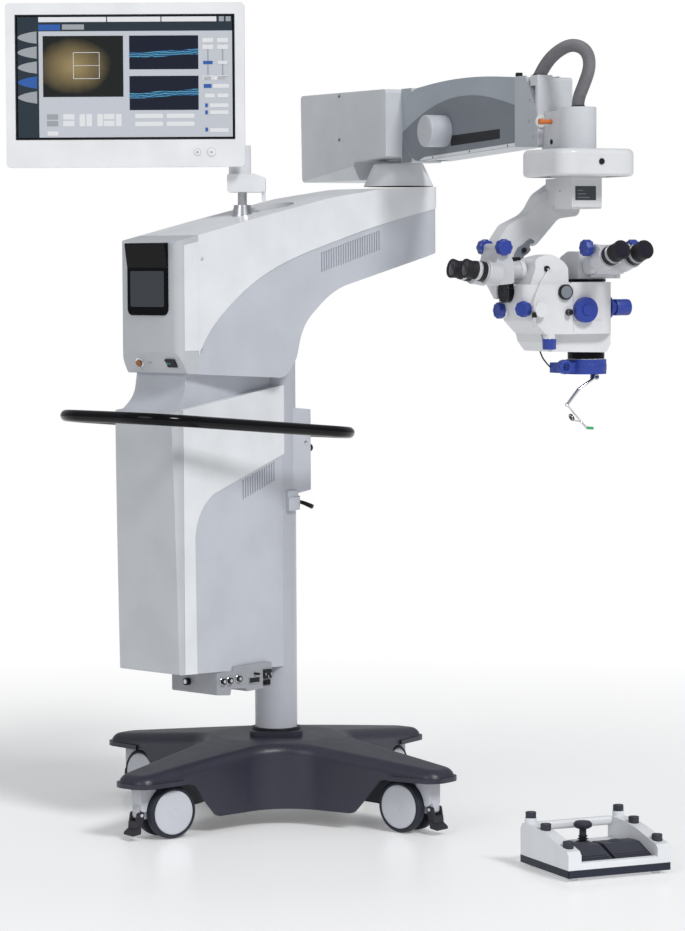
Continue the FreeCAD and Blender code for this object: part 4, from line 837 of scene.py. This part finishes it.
def make_arm_sides():
    """Dark panel, slot drawn as a black sheet of painted shade, low strip and screws on each side of the arm,
    and the web at its rear end.
    """
    panel = arm_panel_outline()
    start = arm_low_edge(669)
    strip = [(196, 1607.4), (669, start + 1.2), (669, start + 8.4), (196, 1614.6)]
    for side, tag in SIDES:
        low = side * ARM_HALF
        slab("arm_side_panel_" + tag, panel, low, low + side * SKIN, ARM_PANEL, "spring_arm", "y", 0.05)
        # The slot is a black sheet: painted shade in the slot.
        slab("arm_slot_shade_" + tag, SLOT, low, low + side * 0.6, BLACK, "spring_arm", "y")
        slab("arm_low_strip_" + tag, strip, low, low + side * SKIN, WHITE, "spring_arm", "y", 0.05)
        for i, u in enumerate((260, 445, 629)):
            screw("arm_low_screw_%s_%d" % (tag, i), (u, low, arm_low_edge(u) + 4.8), (0, side, 0), 2.2,
                  "spring_arm", BLACK)
    upper = arm_round(WEB_RADIUS, 170.0, 118.0) + [(WEB_FRONT, WEB_TOP), (WEB_REAR, WEB_TOP)]
    lower = arm_round(WEB_RADIUS, 190.0, 242.0) + [(WEB_FRONT, WEB_LOW), (WEB_REAR, WEB_LOW)]
    for side, tag in SIDES:
        low = side * ARM_HALF
        slab("web_upper_" + tag, upper, low, low + side * 0.5, ARM_GREY, "swivel_box", "y")
        slab("web_lower_" + tag, lower, low, low + side * 0.5, ARM_PANEL, "swivel_box", "y")


def make_arm_fittings():
    """Button on the arm, screws of the box with painted shade in their recesses, cheeks and screws of the
    head, and the knob's cap.
    """
    lathe("arm_top_button", [(5, -1), (5, 3), (8.5, 4), (8.5, 12), (7, 13.6), (0.5, 14)], (676, -38, 1784.5),
          UP, BLACK, "spring_arm", 32)
    for i, (u, z) in enumerate(((-155.5, 1781.0), (-156.8, 1669.7))):
        for way, tag in SIDES:
            place = (u, way * BOX_HALF, z)
            screw("box_screw_%s_%d" % (tag, i), place, (0, way, 0), 6.4, "swivel_box")
            # A black hexagon in each box screw's recess: painted shade.
            lathe("box_screw_core_%s_%d" % (tag, i), [(2.6, 0), (2.6, 1.25), (0.4, 1.25)], place, (0, way, 0),
                  BLACK, "swivel_box", 6)
    for side, tag in SIDES:
        low = side * HEAD_HALF
        slab("head_cheek_" + tag, CHEEK, low, low + side * 0.7, CHEEK_GREY, "arm_head", "y", 0.3)
    for i, (u, z) in enumerate(((742, 1730), (739.5, 1681), (758, 1646))):
        screw("head_screw_%d" % i, (u, -HEAD_HALF - 0.6, z), NEAR, 3.6, "arm_head")
        screw("head_screw_far_%d" % i, (u, HEAD_HALF + 0.6, z), FAR, 3.6, "arm_head")
    screw("head_block_screw", (811, -30, 1631.7), NEAR, 6.0, "arm_head", BLACK)
    lathe("lock_pin_boss", [(15, -2), (15, 3.2), (13.6, 4.6), (8, 4.6), (7.4, 3.8)], (777.2, -38, 1680),
          RIGHT, HEAD_WHITE, "arm_head", 48)
    lathe("arm_knob_cap", [(33, 0), (33, 0.8), (31, 1.4), (12, 1.4), (11, 0.6), (0.5, 0.6)],
          (320, KNOB_FACE, 1675), NEAR, FRONT, "arm_knob")


POST_X = 880.0
HOSE_ROUTE = [(744, -26, 1780), (768, -25, 1808), (814, -20, 1838), (862, -6, 1855), (904, 8, 1840),
              (916, 12, 1802), (892, 5, 1752), (POST_X, 0, 1728), (POST_X, 0, 1709)]
HOSE_RADIUS = 15.0
HOSE_PITCH = 2.6
HOSE_RIB = 0.5


def make_hose():
    """Corrugated sleeve over the cables, with a smooth gland at each end."""
    path = evenly(spline_points(HOSE_ROUTE), 0.65)

    def radius_at(s):
        return HOSE_RADIUS - HOSE_RIB + HOSE_RIB * math.cos(2 * math.pi * s / HOSE_PITCH)

    ripple = swept("arm_hose_sleeve", path, radius_at, HOSE, "arm_head", 28)
    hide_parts("arm_hose")
    for i, place in enumerate(((751, -26, 1787.6), (POST_X, 0, 1708.6))):
        lathe("hose_gland_%d" % i, [(17.2, 0), (17.2, 2.4), (16.2, 3.6), (15.2, 4), (14, 4)], place, UP,
              BLACK, "arm_head")


make_arm_sides()
make_arm_fittings()
make_hose()


# Coupling and status display

def make_coupling_details():
    """Button and flange of the coupling, and the lines in the status window."""
    lathe("coupling_button", [(7, 0), (7, 2.4), (5.6, 3.6), (0.5, 3.9)], (983, 0, 1582),
          RIGHT, BLACK, "coupling")
    lathe("coupling_flange", [(47, 0), (47, 5), (44, 8), (41, 8.5), (20.6, 8.5)], (POST_X, 0, 1604), UP,
          HEAD_WHITE, "coupling", 64)
    face = POST_X + 38.5
    slab("status_window", rounded(-30.4, 1495.6, 24.4, 1527.4, 1.5), face - 2.1, face - 0.9,
         lit("status_window", (0.034, 0.038, 0.042), 0.25), "stage", "x")
    for i in range(3):
        slab("status_line_%d" % i, rounded(-24, 1501 + 8 * i, 8 - 9 * i, 1502.4 + 8 * i, 0.6), face - 1.0,
             face - 0.7, lit("status_line_%d" % i, (0.16, 0.20, 0.24), 0.3), "stage", "x")
    screw("status_screw", (866, -40.0, 1517), NEAR, 2.4, "stage")


make_coupling_details()


# Microscope head

FRONT_FACE = 950.0
SIDE_FACE = 925.0
OPTIC_X = 878.0
OPTIC_Y = 22.0
EYE_HALF = 31.0
KNOB_RADIUS = 18.9
KNOB_LENGTH = 19.8
TUBE_MIDDLE = 28.0
DOME_PORT = (933.6, -116, 1338.6)
PLUG_TOP = (961, -164.3, 1244)
LOUPE_PLACE = (896, -28, 997)
LOUPE_WAY = (0, 0.894, 0.447)


def binocular_details(prefix, body, centres, along, places, radius):
    """Collar, dioptre ring and rubber cup of each eyepiece, at their distances along the tube."""
    collar_at, ring_at, cup_at = places
    for i, centre in enumerate(centres):
        name = "%s_%d" % (prefix, i)

        def at(distance):
            return tuple(p + d * distance for p, d in zip(centre, along))

        lathe(name + "_collar", [(radius + 0.4, 0), (radius + 0.8, 1), (radius + 0.8, 5), (radius, 6.6),
                                 (22, 6.8), (22, 0)], at(collar_at), along, OPTIC, body)
        lathe(name + "_dioptre", [(20.5, -7), (23.2, -5.6), (23.2, 6.6), (21.8, 8.4), (19.2, 8.4)],
              at(ring_at), along, BLACK, body, 72, 24, 0.8)
        lathe(name + "_index", [(22.6, 9.2), (22.6, 10.2), (19.2, 10.2), (19.2, 9.2)], at(ring_at),
              along, STEEL, body, 48)
        lathe(name + "_cup", [(19.4, -14), (21.2, -12), (21.2, -3), (19.8, 0), (20.4, 8), (22.2, 17),
                              (21.6, 19.4), (20.2, 20.2), (18.2, 18.6), (17.0, 17.5)], at(cup_at),
              along, RUBBER, body, 56)
        lathe(name + "_lens", [(16.8, 17.2), (16.8, 17.6), (10, 18.4), (0.5, 18.7)], at(cup_at),
              along, LENS, body, 40)


def make_main_tube_details():
    rise = math.radians(16)
    centres = [(950, TUBE_MIDDLE + side * EYE_HALF, 1346) for side in (-1, 1)]
    binocular_details("main_eyepiece", "main_tube", centres, (math.cos(rise), 0, math.sin(rise)),
                      (65.2, 82.0, 111.0), 25.0)
    for side, tag in SIDES:
        knob("eye_distance_knob_" + tag, (972, TUBE_MIDDLE + side * 51.5, 1386), (0, side, 0), KNOB_RADIUS,
             KNOB_LENGTH, BLUE, "main_tube", 8, 1.6)


def make_assistant_details():
    rise = math.radians(10)
    centres = [(POST_X + side * EYE_HALF, -240, 1328) for side in (-1, 1)]
    binocular_details("side_eyepiece", "assistant_tube", centres, (0, -math.cos(rise), math.sin(rise)),
                      (17.2, 34.0, 59.0), 26.0)
    for way in (-1, 1):
        start = POST_X + way * 33.5
        knob("side_knob_%d" % start, (start, -222, 1388), (way, 0, 0), KNOB_RADIUS, KNOB_LENGTH, BLUE,
             "assistant_tube", 8, 1.6)


def make_head_details():
    """Knobs, caps, seams and the lens of the microscope's body."""
    lathe("left_port_cap", [(25.4, 0), (26.12, 0.4), (26.12, 14.3), (25.8, 14.7), (8, 14.8), (7, 14.62),
                            (0.5, 14.62)], (868, -177.5, 1288), NEAR, GLOSS_BLACK, "microscope")
    lathe("right_port_cap", [(21.4, 0), (22, 3), (22, 8), (20, 11), (0.5, 11.4)], (857, 63.6, 1286), FAR,
          GLOSS_BLACK, "microscope")
    lathe("front_port_cap", [(17.6, 0), (17.6, 7), (16.4, 9), (15, 9.2), (14.4, 8.3), (0.5, 8.3)],
          (FRONT_FACE, -78, 1286), RIGHT, BLACK, "microscope", 56)
    lathe("front_port_glass", [(14.2, 8.2), (14.2, 8.6), (8, 9.6), (0.5, 10.0)], (FRONT_FACE, -78, 1286),
          RIGHT, ARM_PANEL, "microscope", 48)
    knob("focus_knob", (932, -170, 1248), (0.5, -0.866, 0), 18.4, 20.0, BLUE, "microscope", 8, 1.4)
    lathe("plug_seat", [(17.4, 0), (17.4, 13), (15.5, 16.4), (4, 16.4), (3.4, 15.6), (0.5, 15.6)],
          (FRONT_FACE, -148, 1246), RIGHT, HEAD_WHITE, "microscope", 56)
    knob("iris_knob", (836, -176, 1244), NEAR, 18.8, 15.8, BLUE, "microscope", 8, 1.5)
    knob("low_knob", (938, -112, 1180), DOWN, 16.0, 24.8, BLUE, "microscope", 8, 1.5)
    lathe("low_knob_neck", [(11, 0), (11, 8), (13, 10), (0.5, 10)], (938, -112, 1191), DOWN,
          BLACK, "microscope")
    knob("filter_knob_high", (FRONT_FACE, -70, 1240), RIGHT, 7.8, 15.0, BLACK, "microscope", 12, 0.6)
    knob("lock_knob_high", (854, -28.6, 1345), NEAR, 6.4, 12.0, BLACK, "microscope", 12, 0.5)
    lathe("zoom_face", [(28.9, 0), (28.9, 12), (27.4, 15.2), (13, 16.4), (12.3, 19.4), (0.5, 19.6)],
          (FRONT_FACE + 0.4, -28, 1245), RIGHT, BLUE, "zoom_knob", 72, 36, 0.8)
    lathe("objective_ring", [(42.6, 0), (42.6, 15), (41, 17), (31, 17), (30.2, 12)], (OPTIC_X, OPTIC_Y, 1147),
          DOWN, GLOSS_BLACK, "microscope", 72)
    lathe("objective_lens", [(29.8, 0), (29.8, 1.4), (18, 3.4), (0.5, 4.2)], (OPTIC_X, OPTIC_Y, 1137.6), DOWN,
          LENS, "microscope", 56)
    seams = (("module_seam", (-56, 1194, -55.2, 1298), FRONT_FACE, 0.2),
             ("middle_seam", (-54, 1221.0, 20, 1221.8), FRONT_FACE, 0.2),
             ("lower_seam", (-120, 1191.0, 56, 1191.8), SIDE_FACE, 0.25))
    for name, corners, face, proud in seams:
        slab(name, rectangle(*corners), face - 0.2, face + proud, GREY_MARK, "microscope", "x")
    lathe("tube_seat_ring", [(45.4, 0), (46, 1), (46, 4), (45.4, 5), (40, 5), (40, 0)],
          (OPTIC_X, OPTIC_Y, 1309.4), UP, BLACK, "microscope", 72)
    lathe("tilt_cap", [(15, 0), (15, 5), (13, 7), (0.5, 7.4)], (781, -183.4, 1330), NEAR, OPTIC, "microscope")
    lathe("grip_flange", [(26.6, 0), (26.6, 4), (24, 6.4), (15.4, 6.4)], (900, 64.2, 1249), FAR,
          BLUE, "microscope", 56)
    lathe("grip_sleeve", [(18.8, 0), (19.4, 2), (19.0, 20), (19.3, 34), (17.6, 38), (0.5, 39.2)],
          (900, 83.6, 1249), FAR, BLUE, "microscope", 72, 18, 0.7)


def make_cable_details():
    """Port on the module's dome, its thin cable and the plug that hangs in front of the body."""
    lathe("dome_port", [(7.2, -3), (7.2, 3), (6, 4.6), (3, 4.8), (0.5, 4.8)], DOME_PORT, RIGHT,
          BLACK, "microscope", 32)
    route = [(936, -116, 1338.6), (950, -118, 1338), (962, -130, 1332), (964, -150, 1305), (962, -163, 1276),
             (961, -164.5, 1250), (961, -164.3, 1243)]
    wire("dome_cable", route, 2.0, HEAD_WHITE, "microscope")
    lathe("dome_plug", [(3.0, 0), (4.6, 2), (4.6, 22), (3.8, 24), (3.8, 34), (2.6, 38), (0.5, 38.4)],
          PLUG_TOP, DOWN, STEEL, "microscope", 32)
    lathe("dome_plug_sleeve", [(5.2, 3), (5.4, 4), (5.4, 14), (5.2, 15)], PLUG_TOP, DOWN,
          BLACK, "microscope", 32)
    lathe("plug_clip", [(6.2, 0), (6.2, 3), (0.5, 3)], (949, -160, 1226), RIGHT, HEAD_WHITE, "microscope", 24)


def make_release_lever():
    """Hooked lever on the suspension arm's front."""
    hook = [(-131, 1353), (-126, 1374), (-118, 1388), (-104, 1396), (-94, 1404), (-84, 1409), (-74, 1403),
            (-76, 1398), (-84, 1401), (-88, 1393), (-84, 1382), (-92, 1374), (-102, 1368), (-108, 1354)]
    slab("release_lever", hook, 804.2, 809.0, ARM_PANEL, "stage", "x", 1.2)
    lathe("release_pivot", [(6, 0), (6, 2.4), (5, 3.2), (0.5, 3.2)], (811, -104, 1382),
          RIGHT, BLACK, "stage", 28)
    slab("release_base", rounded(-133, 1344, -112, 1366, 3), 804.2, 810.0, BLACK, "stage", "x", 0.8)


def make_viewer_details():
    """Knurled band, focus knob and lever of the viewer ring, and the lens and tip sleeve on the viewer arm.
    """
    lathe("viewer_band", [(46.8, 0), (47.6, 2), (47.6, 15), (46.6, 17), (34.4, 17), (34.4, 0)],
          (OPTIC_X, OPTIC_Y, 1104), UP, BLUE, "viewer_ring", 90, 30, 0.8)
    knob("viewer_focus_knob", (900, -55, 1114), RIGHT, 16.8, 18.8, BLUE, "viewer_ring", 8, 2.4)
    wire("viewer_lever", [(866, -66, 1112), (862, -82, 1128), (862, -92, 1150), (864, -96, 1158)], 1.8,
         BLACK, "viewer_ring")
    lathe("viewer_lens_rim", [(9.0, -1.6), (9.0, 1.6), (8.4, 2.2), (6.0, 2.2), (6.0, -2.2), (8.4, -2.2)],
          LOUPE_PLACE, LOUPE_WAY, BLACK, "viewer_arm", 40)
    lathe("viewer_lens_glass", [(5.9, -0.8), (5.9, 0.8), (0.4, 1.6)], LOUPE_PLACE, LOUPE_WAY,
          LENS, "viewer_arm", 32)
    lathe("viewer_tip_sleeve", [(3.3, 0), (3.3, 17), (2.6, 18.6), (0.4, 19)], (896, 12, 972),
          (0, 0.9962, -0.087), GREEN, "viewer_arm", 24)


make_main_tube_details()
make_assistant_details()
make_head_details()
make_cable_details()
make_release_lever()
make_viewer_details()


# Foot control

FOOT_WIDTH = 255.0
FOOT_DEPTH = 230.0
FOOT_MIDDLE = FOOT_WIDTH / 2.0
FOOT_FRONT_TOP = 66.0
FOOT_REAR_TOP = 97.0
REAR_POST = 13.0
PLINTH_PROUD = 0.6
PLINTH_WALL = 3.0
JOYSTICK_Y = 172.0


def foot_crest(y):
    """Height of the side walls' curved top."""
    share = min(1.0, max(0.0, (y - 14.0) / (FOOT_DEPTH - 60.0)))
    return FOOT_FRONT_TOP + (FOOT_REAR_TOP - FOOT_FRONT_TOP) * math.sin(share * math.pi / 2.0)


def make_foot_details():
    """Dark plinth, pedal ribs, cap rims and the joystick's gaiter."""
    low, wall = -PLINTH_PROUD, PLINTH_WALL
    right, rear = FOOT_WIDTH + PLINTH_PROUD, FOOT_DEPTH + PLINTH_PROUD
    walls = ((low, low, right, wall), (low, FOOT_DEPTH - wall, right, rear), (low, low, wall, rear),
             (FOOT_WIDTH - wall, low, right, rear))
    for i, corners in enumerate(walls):
        slab("foot_plinth_%d" % i, rounded(*corners, 1.6, 3), 8.0, 25.0, PLINTH, "stand", "z", 0.5, FOOT)
    for side, body in ((-1, "pedal_left"), (1, "pedal_right")):
        ends = sorted((FOOT_MIDDLE + side * 10.0, FOOT_MIDDLE + side * 89.0))
        for i, y in enumerate((22.0, 31.0, 40.0)):
            z = 36.0 + (y + 2.0 - 15.0) * 0.372
            slab("pedal_rib_%s_%d" % (body, i), rounded(ends[0], y, ends[1], y + 4, 1.8), z - 1.2, z + 1.8,
                 MAT, body, "z", 0.5)
        lathe("pedal_dome_" + body, [(19, -2), (18, 0.8), (13, 3.0), (0.5, 4.0)],
              (FOOT_MIDDLE + side * 49.0, 108, 61.4), UP, MAT, body, 48)
    lathe("joystick_grip", [(8.4, 83), (14, 83.6), (20, 87), (21.6, 91), (21.0, 95), (17, 99.4), (9, 100.8),
                            (0.5, 101.0)], (FOOT_MIDDLE, JOYSTICK_Y, 0), UP, CAP_GREY,
          "joystick", 64, 10, 0.9)
    for i, z in enumerate((54.0, 60.0, 66.0)):
        lathe("joystick_gaiter_%d" % i, [(8.2, -2.6), (15.0 - 2 * i, 0), (8.2, 2.6)],
              (FOOT_MIDDLE, JOYSTICK_Y, z), UP, RUBBER, "joystick", 40)
    caps = ((32.0, foot_crest(32.0)), (138.0, foot_crest(138.0)), (210.0, FOOT_REAR_TOP + REAR_POST))
    for i, x in enumerate((16.0, 239.0)):
        for j, (y, seat) in enumerate(caps):
            lathe("toe_cap_%d_%d" % (i, j), [(12.0, -2), (12.3, 0), (11.4, 1.4), (8, 1.0), (7.4, 0.4),
                                             (0.5, 0.2)], (x, y, seat + 12.0), UP,
                  CAP_GREY, "toe_buttons", 40)


make_foot_details()


# Floor and light

FLOOR_SIZE = 14.0
FLOOR_DROP = -0.0006


def make_stage():
    """White floor that fades to plain light away from the object."""
    mesh = bpy.data.meshes.new("floor")
    corners = [(x, y, 0) for x, y in rectangle(-FLOOR_SIZE, -FLOOR_SIZE, FLOOR_SIZE, FLOOR_SIZE)]
    mesh.from_pydata(corners, [], [(0, 1, 2, 3)])
    floor = new_object("floor", mesh)
    floor.location.z = FLOOR_DROP
    material, tree, shader = new_material("floor")
    fill(shader, Base_Color=(0.93, 0.93, 0.93, 1), Roughness=0.30, Emission_Color=(1.0, 1.0, 1.0, 1),
         Emission_Strength=0.16)
    glow = add_node(tree, "Emission")
    spread = add_node(tree, "MapRange", Value=distance(tree, coordinates(tree)), From_Min=1.0, From_Max=3.2)
    mix = mixed(tree, spread.outputs["Result"], shader.outputs["BSDF"], glow.outputs["Emission"])
    fill(tree.nodes["Material Output"], Surface=mix)
    mesh.materials.append(material)


def make_lamp(name, azimuth, elevation, strength, spread):
    """Far lamp; its direction and its own width are in degrees."""
    data = bpy.data.lights.new(name, "SUN")
    data.energy = strength
    data.angle = math.radians(spread)
    lamp = new_object(name, data)
    lamp.rotation_euler = (math.radians(90 - elevation), 0, math.radians(azimuth))


def make_world():
    """Soft light from all round, seen as white by the camera."""
    world = bpy.data.worlds.new("studio")
    bpy.context.scene.world = world
    world.use_nodes = True
    tree = world.node_tree
    tree.nodes.clear()
    seen = add_node(tree, "Background", Color=(1, 1, 1, 1), Strength=1.0)
    light = add_node(tree, "Background", Color=(0.95, 0.97, 1.0, 1), Strength=0.40)
    rays = add_node(tree, "LightPath")
    mix = mixed(tree, rays.outputs["Is Camera Ray"], light.outputs["Background"], seen.outputs["Background"])
    add_node(tree, "OutputWorld", Surface=mix)


make_stage()
make_world()
make_lamp("key", 78.0, 42.0, 1.85, 14.0)
make_lamp("fill", 8.0, 30.0, 0.50, 30.0)
bpy.context.scene.view_settings.view_transform = "Standard"
